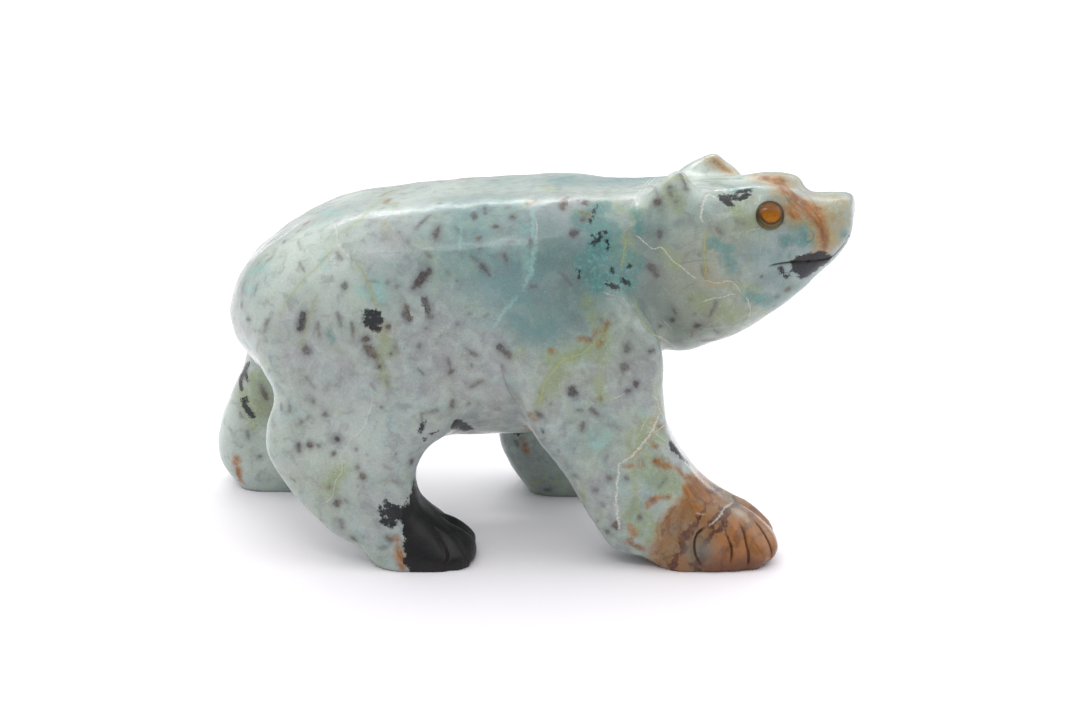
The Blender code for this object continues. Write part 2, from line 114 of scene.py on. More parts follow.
# What is scattered over the sides that the view doesn't show, each at least a gap from the next
GRAIN_SEED = 21
HIDDEN_GRAINS = 230
HIDDEN_GRAIN_GAP = 3.4
LINE_SEED = 8
HIDDEN_LINES = 26
HIDDEN_LINE_GAP = 9.0
HIDDEN_LINE_LENGTHS = (5, 26)
HIDDEN_LINE_WIDTHS = (0.12, 0.26)
HIDDEN_LINE_STRENGTHS = (0.3, 0.75)
HIDDEN_LINE_SHARES = (0.4, 0.42, 0.18)
WANDER_TURN = 24
WANDER_STEP = 0.6
ZONE_SEED = 40
HIDDEN_ZONE_GAP = 6.0
HIDDEN_ZONE_SIZES = (0.4, 1.7)
HIDDEN_ZONE_LIE = 1.5
TINT_SEED = 60
HIDDEN_TINT_GAP = 9.0
HIDDEN_TINT_SIZES = (4.0, 9.0)
HIDDEN_TINT_STRENGTHS = (0.4, 0.95)

# Grains of random size: the shape and scale of their half lengths, the range of their half widths, how much
# wider the long ones are, and the range of their tones. The faint ones lie on every side
BOLD_GRAIN = ((2.2, 0.28), (0.25, 0.45), 0.25, (0.3, 0.85))
FAINT_GRAIN = ((2.0, 0.2), (0.15, 0.32), 0.0, (0.2, 0.6))
FAINT_GRAINS = 260

# The soft valley along each toe cut is wider and shallower than the cut
TOE_VALLEY_WIDTH = 3.0
TOE_VALLEY_DEPTH = 0.28
VALLEY_RUN_IN = 3.0

# Cuts fade in over CUT_RUN_IN at their ends. The steps along them are in pixels of the view, and on the
# stone in millimetres
CUT_RUN_IN = 2.0
CUT_PIXEL_STEP = 2.0
CUT_STEP = 0.4

# Mouth line on the right of the muzzle, in pixels of the view
MOUTH_LINE = ((766, 267), (780, 264), (795, 262), (808, 261), (820, 260), (832, 256), (843, 244), (848, 236))
MOUTH_WIDTH = 0.5
MOUTH_DEPTH = 0.55

# Toe cuts of the two near paws, in pixels of the view
NEAR_TOE_CUTS = (
    ((709, 524), (699, 533), (695, 544), (697, 558), (704, 569)),
    ((720, 518), (726, 532), (731, 545), (732, 555), (729, 566)),
    ((736, 519), (744, 532), (747, 544), (749, 557), (748, 569)),
    ((752, 517), (762, 528), (769, 540), (772, 550), (770, 561)),
    ((433, 524), (442, 536), (447, 549), (448, 559), (443, 570)),
    ((453, 527), (463, 536), (467, 546), (469, 557), (466, 566)),
)

# Toe cuts of the far paws and the hidden side of the near ones fan out from a point inside each paw, at
# these angles from straight ahead, in degrees
TOE_FANS = (
    ((-16.97, -17.60), (8, 40)),
    ((32.21, -17.00), (0, 36)),
    ((-40.05, 19.13), (-44, -12, 18, 48)),
    ((13.94, 16.72), (-46, -15, 15, 46)),
)
TOE_FAN_HEIGHT = 1.2
TOE_CUT_RISE = math.radians(62)
TOE_CUT_DROP = math.radians(12)
TOE_CUT_STATIONS = 24
TOE_CUT_WIDTH = 0.52
TOE_CUT_DEPTH = 0.45

# Dark grains in the stone that show in the view: two ends and the width in pixels, and how dark. A grain
# that ends where it starts is made half a pixel long
SHORTEST_GRAIN = 0.5
GRAINS = (
    (303, 313, 300, 330, 7, .85), (246, 319, 250, 320, 4, .5), (268, 320, 264, 332, 5, .4),
    (337, 312, 341, 326, 4, .35), (352, 323, 353, 341, 4, .5), (318, 322, 319, 338, 4, .4),
    (305, 345, 308, 354, 9, .4), (260, 340, 256, 352, 3, .35), (341, 285, 347, 287, 7, .35),
    (336, 252, 342, 260, 4, .35), (299, 262, 304, 272, 2, .8), (298, 241, 300, 250, 2, .5),
    (254, 296, 257, 284, 3, .35), (241, 304, 242, 308, 5, .3), (363, 339, 369, 339, 5, .85),
    (364, 345, 377, 358, 10, .5), (379, 366, 380, 367, 5, .95), (394, 347, 395, 348, 3, .7),
    (390, 354, 392, 354, 3, .85), (388, 325, 388, 329, 4, .95), (307, 378, 315, 388, 3, .5),
    (371, 383, 375, 391, 3, .5), (386, 380, 388, 388, 3, .35), (386, 283, 388, 283, 3, .5),
    (395, 287, 398, 286, 3, .6), (405, 305, 409, 322, 7, .65), (424, 297, 429, 318, 8, .65),
    (430, 269, 413, 289, 7, .9), (430, 215, 415, 229, 4, .5), (439, 226, 435, 238, 6, .65),
    (407, 240, 409, 244, 4, .35), (405, 254, 406, 258, 3, .45), (418, 369, 424, 375, 3, .6),
    (455, 226, 460, 234, 3, .45), (474, 212, 474, 219, 6, .45), (484, 207, 485, 214, 5, .4),
    (506, 208, 510, 207, 3, .4), (511, 217, 514, 216, 6, .65), (493, 226, 499, 227, 4, .65),
    (477, 239, 481, 237, 3, .7), (470, 256, 480, 263, 3, .45), (480, 263, 489, 275, 5, .6),
    (447, 270, 449, 276, 3, .35), (456, 281, 457, 281, 2, .85), (504, 254, 507, 262, 4, .55),
    (531, 239, 533, 246, 4, .85), (529, 287, 536, 286, 3, .95), (560, 272, 571, 285, 2, .75),
    (484, 317, 488, 313, 2, .5), (456, 322, 457, 326, 4, .5), (498, 345, 505, 352, 7, .75),
    (505, 352, 511, 357, 8, .5), (466, 349, 477, 356, 4, .5), (448, 358, 450, 367, 3, .5),
    (448, 373, 453, 371, 5, .55), (471, 365, 472, 365, 3, .9), (470, 387, 484, 380, 4, .5),
    (502, 364, 504, 371, 3, .45), (425, 328, 426, 329, 4, .35), (417, 346, 420, 347, 5, .35),
    (453, 399, 452, 408, 5, .5), (467, 406, 469, 403, 3, .45), (424, 413, 437, 410, 4, .45),
    (289, 405, 290, 412, 3, .75), (281, 404, 281, 410, 4, .5), (301, 421, 302, 423, 4, .5),
    (310, 415, 306, 420, 3, .45), (325, 411, 326, 418, 6, .35), (313, 402, 314, 402, 4, .5),
    (298, 443, 299, 452, 5, .55), (309, 442, 310, 448, 6, .65), (317, 445, 320, 447, 4, .5),
    (335, 438, 339, 440, 6, .85), (332, 453, 335, 454, 5, .5), (355, 450, 357, 449, 3, .7),
    (366, 455, 367, 455, 2, .6), (395, 454, 396, 454, 3, .9), (362, 474, 363, 480, 5, .55),
    (357, 486, 358, 486, 2, .5), (411, 460, 412, 463, 5, .65), (336, 500, 337, 507, 7, .5),
    (345, 501, 346, 500, 5, .4), (329, 486, 330, 489, 3, .5), (340, 519, 342, 528, 5, .3),
    (350, 537, 356, 541, 5, .5), (320, 519, 322, 521, 3, .5), (385, 536, 393, 541, 5, .5),
    (379, 548, 387, 547, 4, .4), (391, 470, 383, 465, 4, .3), (357, 465, 358, 470, 6, .25),
    (570, 387, 575, 397, 10, .5), (576, 410, 583, 411, 3, .5), (590, 409, 598, 415, 4, .5),
    (584, 422, 581, 431, 4, .65), (550, 404, 551, 404, 2, .85), (537, 412, 541, 418, 5, .7),
    (541, 429, 543, 433, 3, .85), (634, 383, 637, 386, 6, .75), (625, 393, 631, 389, 4, .65),
    (574, 448, 575, 448, 2, .6), (558, 449, 559, 453, 5, .3), (608, 455, 604, 461, 3, .4),
    (607, 477, 612, 479, 5, .45), (624, 477, 628, 479, 5, .45), (593, 492, 598, 489, 5, .35),
    (614, 522, 617, 529, 7, .65), (606, 531, 609, 533, 5, .45), (638, 516, 641, 519, 5, .4),
    (574, 474, 576, 477, 4, .4), (628, 344, 625, 353, 7, .35), (625, 364, 622, 371, 8, .35),
    (582, 520, 585, 522, 3, .3), (545, 398, 546, 399, 3, .3), (601, 503, 604, 507, 4, .25),
    (654, 187, 656, 192, 3, .65), (669, 186, 669, 188, 4, .6), (670, 192, 672, 197, 3, .45),
    (653, 200, 660, 204, 6, .5), (675, 202, 677, 202, 4, .5), (660, 230, 658, 238, 6, .4),
    (648, 263, 657, 277, 8, .45), (673, 309, 675, 314, 3, .75), (671, 321, 673, 319, 4, .95),
    (695, 327, 700, 325, 5, .9), (694, 313, 695, 314, 2, .9), (659, 325, 660, 328, 4, .7),
    (649, 352, 654, 350, 4, .7), (716, 299, 714, 308, 4, .5), (714, 308, 709, 316, 4, .5),
    (702, 341, 715, 340, 6, .35), (761, 276, 762, 277, 3, .9), (787, 287, 788, 291, 6, .4),
    (775, 297, 779, 298, 5, .3), (680, 174, 686, 190, 5, .5), (583, 204, 586, 201, 7, .6),
    (567, 197, 561, 209, 8, .5), (577, 200, 578, 201, 3, .5), (581, 221, 585, 218, 4, .85),
    (578, 231, 571, 236, 8, .55), (572, 176, 576, 176, 2, .8), (493, 181, 498, 180, 2, .7),
    (438, 203, 440, 204, 3, .6), (247, 368, 241, 381, 5, .75), (261, 384, 266, 400, 6, .5),
    (258, 457, 261, 456, 4, .6), (247, 430, 249, 440, 5, .35), (240, 412, 242, 418, 4, .35),
    (520, 478, 523, 484, 5, .5), (545, 490, 552, 489, 5, .4), (515, 440, 517, 446, 5, .35),
)

# Zones of colour in the view: two ends and the radius in pixels
BLACK_ZONES = (
    (798, 262, 820, 258, 8), (806, 271, 812, 268, 9), (822, 262, 826, 258, 6), (797, 268, 803, 264, 6),
    (782, 274, 788, 276, 2), (781, 268, 784, 272, 2), (722, 197, 730, 204, 4), (729, 196, 740, 199, 3),
    (742, 198, 748, 194, 3), (738, 192, 752, 189, 2.6), (366, 313, 378, 314, 3.5),
    (367, 322, 380, 321, 4.5), (372, 328, 378, 329, 3.5), (592, 244, 601, 238, 2),
    (607, 242, 609, 249, 2.2), (606, 283, 607, 284, 2), (611, 285, 617, 288, 2.4),
    (622, 280, 629, 283, 2.6), (612, 269, 613, 272, 1.8), (629, 266, 631, 268, 2),
    (578, 270, 580, 277, 1.6), (455, 424, 467, 429, 6), (424, 423, 421, 431, 2.6),
    (431, 434, 438, 432, 1.2), (424, 441, 426, 437, 1.4), (462, 433, 475, 433, 1.2),
    (386, 504, 392, 506, 4), (392, 512, 404, 514, 7), (384, 521, 393, 524, 4), (380, 509, 384, 514, 3),
    (672, 446, 679, 453, 5.5), (680, 455, 687, 462, 5), (828, 191, 831, 192, 1.2),
    (249, 363, 246, 367, 3.2), (246, 366, 241, 377, 4), (240.5, 380, 241.5, 388, 3.6),
    (243.5, 401, 246, 408, 3.8), (247, 398, 246.5, 401, 2.4), (246, 408, 252.5, 415, 3.8),
    (245, 371, 248, 380, 2.6), (592, 235, 607, 232, 1.3), (597, 205, 590, 222, 1.6),
)
RUST_ZONES = (
    (779, 181, 786, 188, 7), (788, 190, 798, 200, 10), (800, 202, 812, 211, 8.5), (812, 211, 820, 222, 6),
    (820, 222, 824, 240, 4.5), (824, 240, 823, 252, 3), (760, 177, 778, 182, 4.5),
    (790, 211, 797, 216, 4.5), (716, 161, 729, 171, 2.5), (704, 254, 706, 280, 1), (304, 225, 308, 222, 2),
    (296, 232, 299, 231, 1.6), (381, 196, 388, 192, 1.8), (388, 192, 402, 189, 1.6),
    (385, 203, 389, 199, 2.2), (380, 210, 382, 208, 1.5), (578, 338, 590, 340, 1.8),
    (608, 321, 603, 331, 1.6), (602, 341, 600, 346, 1.8), (594, 334, 597, 330, 1.4),
    (583, 212, 588, 214, 2.4), (549, 349, 556, 352, 1.2), (530, 415, 534, 420, 2.4),
    (528, 427, 530, 431, 2.4), (529, 203, 534, 200, 2), (655, 461, 672, 467, 3), (625, 466, 645, 465, 1.8),
    (648, 506, 655, 498, 2.6), (655, 498, 668, 497, 2), (686, 477, 695, 480, 4), (690, 490, 706, 496, 7),
    (692, 503, 700, 508, 4), (759, 550, 768, 557, 5), (630, 527, 635, 533, 3), (628, 541, 640, 548, 3),
    (398, 549, 402, 566, 4.2), (396, 536, 398, 541, 1.6), (236, 458, 240, 480, 4.2),
    (523, 439, 527, 452, 2.6), (372, 326, 374, 327, 2.4), (600, 399, 601, 400, .8),
    (646, 387, 646, 388, .6), (652, 445, 655, 447, 2.2), (660, 425, 664, 428, 2.6),
    (478, 239, 479, 240, 1.2), (676, 468, 682, 474, 2),
)
TEAL_ZONES = (
    (584, 220, 610, 232, 12), (600, 250, 626, 262, 14), (606, 280, 630, 280, 10), (590, 212, 604, 206, 8),
    (585, 262, 600, 285, 10), (636, 212, 640, 232, 5), (548, 181, 570, 177, 3.5), (712, 243, 728, 250, 6),
    (726, 258, 732, 268, 5), (722, 184, 735, 190, 4), (743, 190, 750, 188, 1.6), (796, 222, 812, 232, 9),
    (783, 244, 791, 240, 3), (700, 180, 742, 178, 2), (806, 236, 816, 242, 5), (783, 241, 794, 240, 4.5),
    (842, 229, 844, 234, 4), (748, 296, 768, 302, 6), (786, 191, 790, 202, 1), (790, 202, 803, 217, 1.2),
    (329, 334, 334, 344, 1.8), (640, 262, 634, 276, 6), (798, 240, 803, 245, 4), (558, 183, 560, 190, 2),
    (620, 292, 630, 290, 4), (520, 222, 526, 228, 2),
)
CREAM_ZONES = (
    (829, 196, 843, 204, 9), (834, 212, 840, 224, 8), (812, 193, 824, 198, 5), (797, 180, 800, 186, 3),
    (770, 175, 796, 176, 3.5), (704, 160, 716, 158, 5), (722, 166, 730, 172, 3), (655, 418, 650, 438, 4),
    (716, 518, 726, 504, 3), (704, 284, 724, 284, 3), (638, 450, 630, 458, 2.4), (828, 238, 838, 244, 4),
    (694, 512, 704, 515, 2), (660, 408, 668, 424, 3), (728, 500, 738, 500, 2.4), (842, 200, 848, 226, 3),
    (384, 332, 386, 326, 3), (385, 224, 388, 232, 3),
)
GREEN_ZONES = (
    (626, 238, 632, 262, 6), (614, 246, 616, 256, 4), (667, 188, 678, 206, 7), (664, 250, 676, 262, 6),
    (735, 210, 752, 222, 7), (540, 404, 560, 372, 7), (552, 360, 592, 350, 8), (640, 436, 646, 426, 8),
    (650, 466, 668, 488, 14), (636, 516, 652, 534, 13), (634, 440, 662, 436, 7), (668, 470, 682, 486, 7),
    (386, 340, 390, 352, 7), (380, 350, 386, 384, 4), (340, 470, 330, 490, 8), (386, 200, 394, 206, 5),
    (545, 186, 552, 190, 4), (604, 330, 604, 356, 7), (586, 300, 592, 320, 5), (560, 480, 584, 500, 5),
    (636, 440, 634, 470, 6), (700, 300, 736, 316, 10), (580, 213, 590, 216, 4), (616, 208, 640, 212, 3),
    (734, 286, 756, 290, 4), (832, 232, 836, 240, 4), (600, 380, 602, 400, 5), (520, 352, 514, 358, 4),
    (694, 466, 700, 472, 4), (372, 206, 384, 200, 3), (258, 382, 262, 408, 13), (244, 394, 252, 424, 9),
)
AQUA_ZONES = (
    (322, 258, 325, 266, 3), (326, 210, 338, 214, 6), (378, 284, 382, 298, 5), (526, 226, 528, 268, 3.4),
    (588, 430, 592, 434, 3), (596, 444, 604, 442, 5), (642, 411, 644, 415, 2.5), (250, 272, 264, 268, 4),
    (360, 290, 370, 296, 4), (246, 284, 252, 292, 3), (610, 436, 606, 434, 2.5), (800, 221, 806, 224, 3),
    (326, 222, 322, 226, 2),
)

# Broad tints of the ground: centre and radius in pixels, and how strong
DEEP_TINTS = (
    (655, 300, 34, .8), (700, 285, 30, .45), (650, 240, 26, .7), (690, 325, 26, .5), (640, 270, 22, .5),
    (560, 290, 34, .5), (600, 300, 26, .4), (735, 240, 22, .35), (640, 350, 26, .4), (545, 250, 26, .25),
    (530, 470, 40, .5), (600, 420, 30, .15), (700, 250, 26, .3), (450, 320, 40, .12), (600, 270, 26, .7),
    (575, 310, 26, .4), (560, 265, 26, .25), (648, 262, 12, .6), (650, 240, 10, .5), (660, 205, 10, .4),
    (788, 242, 8, .9), (812, 238, 7, .7),
)
BLUE_TINTS = (
    (560, 290, 42, 1.0), (590, 250, 34, .8), (500, 290, 46, .6), (450, 250, 50, .45), (560, 220, 34, .5),
    (640, 300, 26, .35), (770, 260, 34, .6), (790, 295, 26, .7), (700, 215, 24, .5), (480, 205, 46, .7),
    (540, 320, 30, .7), (655, 225, 22, .6), (590, 440, 26, .35), (380, 290, 26, .3), (330, 215, 30, .3),
    (740, 185, 22, .4), (260, 280, 20, .3), (820, 290, 26, .5), (600, 182, 30, .8), (640, 178, 26, .8),
    (560, 180, 26, .8), (500, 182, 30, .5), (800, 225, 12, .6), (810, 240, 10, .5), (740, 250, 20, .3),
)
LILAC_TINTS = (
    (470, 370, 46, .8), (500, 420, 34, .5), (420, 340, 36, .6), (330, 360, 40, .5), (290, 330, 34, .6),
    (320, 400, 36, .5), (600, 400, 34, .4), (390, 240, 30, .6), (630, 370, 30, .6), (590, 500, 30, .5),
    (360, 500, 34, .4), (560, 200, 24, .6), (700, 240, 20, .4), (650, 330, 22, .3), (300, 470, 26, .3),
    (620, 195, 22, .5), (570, 225, 22, .6), (704, 552, 12, 1.0), (738, 508, 8, .6), (672, 530, 8, .45),
    (690, 548, 8, .5),
)
# The pale tints are partly paler stone and partly painted light: painted highlights on the top of the back
# and rump, the forehead and the ear, and painted light on the far hind leg where it lies in shade between the
# legs
PALE_AND_PAINTED_LIGHT_TINTS = (
    (300, 250, 50, .8), (350, 260, 44, .4), (270, 300, 26, .4), (350, 420, 40, .4), (690, 190, 26, .9),
    (440, 190, 40, .5), (340, 300, 34, .3), (760, 190, 26, .5), (830, 205, 22, .8), (330, 470, 30, .2),
    (730, 170, 26, .9), (520, 185, 34, .3), (400, 205, 34, .6), (345, 198, 26, 1.0), (300, 222, 26, .8),
    (740, 180, 14, 1.0), (700, 168, 16, 1.0), (240, 440, 30, .9), (256, 436, 16, .8), (262, 470, 26, .9),
    (215, 440, 20, .6), (739, 513, 6, 1.0), (672, 498, 7, .6), (708, 478, 8, .45), (748, 520, 7, .35),
    (670, 310, 30, .2), (350, 460, 40, .35), (300, 440, 30, .35), (255, 330, 26, .4), (640, 430, 22, .35),
)
OLIVE_TINTS = (
    (700, 250, 30, .8), (735, 225, 24, .7), (700, 310, 34, .9), (740, 310, 26, .7), (670, 200, 20, .5),
    (680, 280, 24, .6), (560, 370, 26, .5), (330, 470, 34, .5), (640, 440, 24, .5), (255, 400, 24, .7),
    (240, 440, 24, .3), (750, 200, 14, .6), (835, 220, 20, .9), (620, 350, 24, .5), (480, 410, 40, .35),
    (380, 340, 26, .4), (570, 480, 34, .4), (740, 278, 20, .4), (280, 250, 26, .2),
)

# The broad tints of each kind, and how many more lie on the hidden side
TINT_KINDS = ((DEEP_TINTS, 4), (BLUE_TINTS, 8), (LILAC_TINTS, 9), (PALE_AND_PAINTED_LIGHT_TINTS, 5), (OLIVE_TINTS, 8))

# Lines in the stone: half width in millimetres, strength, and the pixels of the view that each one passes
WHITE_LINES = (
    (.13, .95, (633, 234), (641, 239), (648, 246), (655, 249), (661, 247), (666, 252), (672, 260), (679, 265),
     (686, 271), (694, 277), (699, 280)),
    (.11, .7, (700, 280), (708, 281), (718, 283), (726, 281), (733, 282), (738, 288), (743, 295)),
    (.11, .75, (697, 304), (706, 300), (716, 298), (724, 297), (732, 294), (741, 294)),
    (.11, .8, (744, 295), (748, 300), (750, 308), (750, 316), (747, 321)),
    (.09, .4, (698, 326), (706, 329), (716, 328), (728, 327), (742, 326)),
    (.22, .9, (718, 201), (714, 197), (708, 194), (704, 201), (702, 210), (701, 219), (706, 224)),
    (.10, .5, (746, 239), (748, 231), (757, 229), (764, 226)),
    (.09, .35, (662, 285), (667, 291), (673, 298)),
    (.10, .7, (657, 320), (662, 324), (667, 327)),
    (.10, .6, (662, 319), (668, 325), (674, 331)),
    (.17, .8, (652, 335), (660, 337), (668, 342), (676, 348), (682, 350)),
    (.11, .65, (600, 291), (608, 294), (616, 296)),
    (.11, .6, (619, 296), (621, 300), (623, 304)),
    (.10, .5, (370, 384), (372, 400), (368, 415), (362, 430), (350, 440), (345, 450), (340, 455), (341, 465),
     (342, 472), (335, 482), (333, 495), (328, 501), (318, 505)),
    (.15, .7, (335, 222), (337, 235), (338, 244), (346, 254), (353, 260)),
    (.22, .9, (660, 412), (655, 424), (650, 434), (643, 444), (636, 452), (628, 459), (620, 464), (618, 474),
     (617, 486), (616, 500), (617, 512), (619, 525), (619, 534)),
    (.12, .5, (656, 177), (647, 186), (640, 197), (634, 209)),
    (.11, .45, (651, 178), (642, 188), (635, 199), (629, 211)),
    (.10, .4, (660, 180), (651, 190), (644, 201), (639, 212)),
    (.19, .75, (706, 528), (714, 522), (720, 515), (726, 507), (734, 502)),
    (.12, .6, (588, 400), (593, 404), (597, 409)),
    (.15, .5, (536, 217), (537, 228), (536, 240)),
    (.10, .7, (629, 391), (620, 396), (609, 400)),
    (.12, .7, (652, 393), (657, 401), (659, 409), (663, 416), (666, 424)),
    (.10, .6, (666, 424), (658, 430), (650, 434)),
    (.09, .55, (645, 424), (653, 430), (660, 437), (668, 443)),
    (.09, .5, (640, 440), (648, 444), (654, 452)),
    (.09, .5, (634, 452), (641, 460), (640, 468)),
    (.09, .55, (652, 412), (646, 420), (641, 430), (636, 440)),
    (.13, .7, (693, 513), (700, 514), (708, 515)),
)
YELLOW_LINES = (
    (.15, .7, (353, 260), (360, 268), (366, 278), (371, 290), (374, 300), (380, 311)),
    (.19, .6, (343, 234), (352, 226), (360, 220), (367, 212), (376, 205), (386, 197), (396, 190)),
    (.22, .45, (337, 246), (330, 252), (322, 262), (314, 270), (306, 277), (298, 286), (290, 297), (284, 306),
     (279, 320)),
    (.19, .5, (633, 293), (636, 305), (640, 318), (648, 328), (656, 336), (668, 343)),
    (.19, .6, (628, 234), (625, 246), (623, 258), (620, 272)),
    (.15, .5, (631, 212), (634, 222), (633, 231)),
    (.18, .65, (598, 338), (590, 347), (583, 353), (572, 357), (563, 360), (556, 368), (548, 378), (543, 388),
     (540, 400), (536, 410)),
    (.19, .35, (598, 346), (600, 362), (600, 380), (597, 396)),
    (.15, .75, (709, 226), (705, 240), (704, 256), (706, 270), (705, 280)),
    (.15, .5, (692, 288), (690, 298), (692, 306)),
    (.15, .4, (374, 345), (379, 358), (384, 372), (382, 390)),
    (.17, .5, (581, 480), (583, 490), (581, 500)),
    (.22, .4, (318, 290), (312, 310), (304, 335), (299, 352)),
    (.15, .4, (330, 346), (340, 352), (350, 357)),
    (.17, .5, (635, 466), (634, 480), (637, 496), (634, 512)),
)
DARK_LINES = (
    (.12, .55, (679, 265), (688, 262), (700, 260), (712, 260)),
    (.12, .6, (680, 291), (689, 285), (699, 281)),
    (.12, .55, (697, 307), (704, 300), (714, 295)),
    (.12, .7, (743, 296), (750, 293), (757, 291)),
    (.13, .6, (700, 260), (702, 272), (706, 282)),
    (.11, .5, (765, 268), (775, 264), (784, 263)),
    (.16, .5, (500, 360), (504, 378), (512, 396), (522, 412), (530, 424)),
)
AQUA_LINES = (
    (.42, .32, (533, 206), (533, 225), (534, 245), (533, 262), (529, 278), (521, 292)),
    (.34, .26, (519, 293), (510, 306), (500, 318), (492, 330)),
    (.3, .2, (461, 222), (460, 240), (459, 256)),
)
TEAL_LINES = (
    (.12, .9, (782, 192), (786, 198), (791, 204), (798, 211), (804, 214), (806, 218)),
    (.14, .8, (808, 230), (812, 232), (814, 237), (811, 242), (806, 241), (805, 235), (808, 230)),
)
BROWN_LINES = (
    (.18, .8, (782, 183), (793, 192), (804, 202), (813, 210), (820, 221), (823, 232), (822, 243)),
    (.12, .7, (795, 186), (806, 194), (815, 205), (818, 216)),
    (.12, .65, (788, 188), (797, 198), (806, 206), (814, 214)),
    (.12, .55, (786, 194), (794, 202), (803, 209), (812, 218), (819, 230)),
    (.14, .6, (757, 175), (770, 178), (782, 183)),
    (.10, .5, (800, 184), (810, 192), (818, 200)),
    (.12, .5, (820, 226), (826, 236), (824, 248)),
    (.36, .7, (686, 478), (694, 482), (704, 488), (714, 493), (722, 497)),
    (.30, .65, (691, 495), (700, 500), (712, 504), (722, 504)),
    (.36, .75, (674, 502), (670, 512), (668, 522), (669, 532), (673, 541)),
    (.40, .8, (687, 505), (682, 516), (680, 526), (680, 536), (684, 546)),
    (.30, .65, (698, 516), (692, 528), (690, 540), (694, 556)),
    (.24, .5, (662, 512), (658, 524), (658, 538), (661, 552)),
    (.45, .6, (755, 552), (762, 549), (770, 546)),
)

# Bundles of file marks: the box in pixels of the view, how far each mark runs across and down, and how
# many there are. Their half width is in millimetres, and the ranges are of their strength and length
FILE_MARKS = (
    ((758, 222, 792, 246), (1, 13), 14), ((640, 184, 662, 200), (-9, 12), 8),
    ((663, 322, 690, 338), (7, 8), 7), ((410, 198, 600, 206), (8, 1), 12),
    ((824, 196, 846, 226), (3, 6), 16), ((600, 290, 622, 300), (5, 6), 4),
)
FILE_MARK_SEED = 12
FILE_MARK_WIDTH = 0.06
FILE_MARK_STRENGTHS = (0.3, 0.6)
FILE_MARK_LENGTHS = (0.4, 1.0)

# The zones of each kind, in the order that their distances are stored, and how many more lie out of view
ZONE_KINDS = (
    (BLACK_ZONES, 6), (RUST_ZONES, 14), (TEAL_ZONES, 16),
    (CREAM_ZONES, 8), (GREEN_ZONES, 22), (AQUA_ZONES, 12),
)

# Borders of the two coloured paws in pixels of the view, drawn downwards, and the box in millimetres that
# each belongs to
BLACK_PAW_BORDER = ((424, 440), (417, 468), (412, 490), (407, 502), (401, 512), (402, 525), (405, 545),
                    (403, 557), (408, 571), (409, 600))
BLACK_PAW_BOX = ((-40.0, -30.0, -1.0), (-6.0, 2.0, 18.5))
AMBER_PAW_BORDER = ((720, 440), (700, 468), (690, 480), (682, 492), (668, 512), (660, 526), (655, 545),
                    (651, 556), (649, 580), (648, 620))
AMBER_PAW_BOX = ((10.0, -30.0, -1.0), (60.0, 2.0, 30.0))

# Colours of the stone, each as red, green and blue
GREY_GREEN = (0.33, 0.39, 0.335)
GREY = (0.325, 0.37, 0.355)
SEA = (0.26, 0.385, 0.37)
LEAF = (0.36, 0.42, 0.285)
LILAC = (0.335, 0.335, 0.345)
OLIVE = (0.30, 0.32, 0.235)
# Paler stone, and also the colour of the painted highlights and painted light of the pale tints
PALE_AND_PAINTED_LIGHT = (0.56, 0.64, 0.58)
BLUE = (0.11, 0.24, 0.245)
DEEP = (0.12, 0.175, 0.16)
CLOUD = (0.47, 0.54, 0.51)
AQUA = (0.26, 0.50, 0.46)
GREEN = (0.25, 0.31, 0.13)
TEAL = (0.035, 0.16, 0.15)
TEAL_PALE = (0.17, 0.38, 0.36)
CREAM = (0.35, 0.315, 0.19)
GOLD = (0.38, 0.265, 0.115)
SHADE = (0.17, 0.175, 0.185)
GRAIN_GREY = (0.06, 0.056, 0.055)
GRAIN_BROWN = (0.12, 0.08, 0.05)
# Pale specks: painted highlight glints on the ground, and pale specks on the jet
GLINT = (0.58, 0.62, 0.58)
RUST = (0.38, 0.165, 0.05)
RUST_DARK = (0.17, 0.07, 0.025)
OCHRE = (0.27, 0.18, 0.06)
AMBER = (0.29, 0.115, 0.03)
AMBER_GOLD = (0.37, 0.15, 0.045)
AMBER_BROWN = (0.10, 0.033, 0.018)
AMBER_TAN = (0.25, 0.175, 0.095)
AMBER_EDGE = (0.38, 0.215, 0.075)
AMBER_GREY = (0.17, 0.155, 0.13)
AMBER_PALE = (0.42, 0.38, 0.30)
JET = (0.004, 0.004, 0.005)
JET_GREY = (0.02, 0.021, 0.025)
JET_BLUE = (0.010, 0.012, 0.018)
# Painted shade for the bottoms of the cuts: near black in the toe cuts, browner in the mouth
CUT_SHADE = (0.035, 0.02, 0.013)
MOUTH_CUT_SHADE = (0.13, 0.095, 0.07)

# The colour of each kind of line: white, yellow, dark, aqua, teal and brown. A line's kind is its number here
LINE_PAINTS = (
    (0.60, 0.60, 0.52),
    (0.36, 0.36, 0.15),
    (0.11, 0.105, 0.085),
    (0.36, 0.62, 0.58),
    (0.02, 0.16, 0.16),
    (0.20, 0.08, 0.03),
)
YELLOW_KIND = 1.0
AQUA_KIND = 3.0

# Rust is red on the muzzle and the legs, and ochre elsewhere. The painted shade in the cuts is darker in
# the toe cuts than in the mouth. Each pair is where that starts and where it is full, in millimetres
MUZZLE_START = (30.0, 35.0)
LEG_TOP = (24.0, 16.0)
MOUTH_HEIGHT = (24.0, 28.0)
RUST_TURN = math.radians(59)
RUST_STREAK = (6.0, 2.0, 0.9)

# Over how many millimetres the paws' colours come in across their borders
BLACK_PAW_FADE = (-0.25, 0.25)
AMBER_PAW_FADE = (-2.0, 1.5)

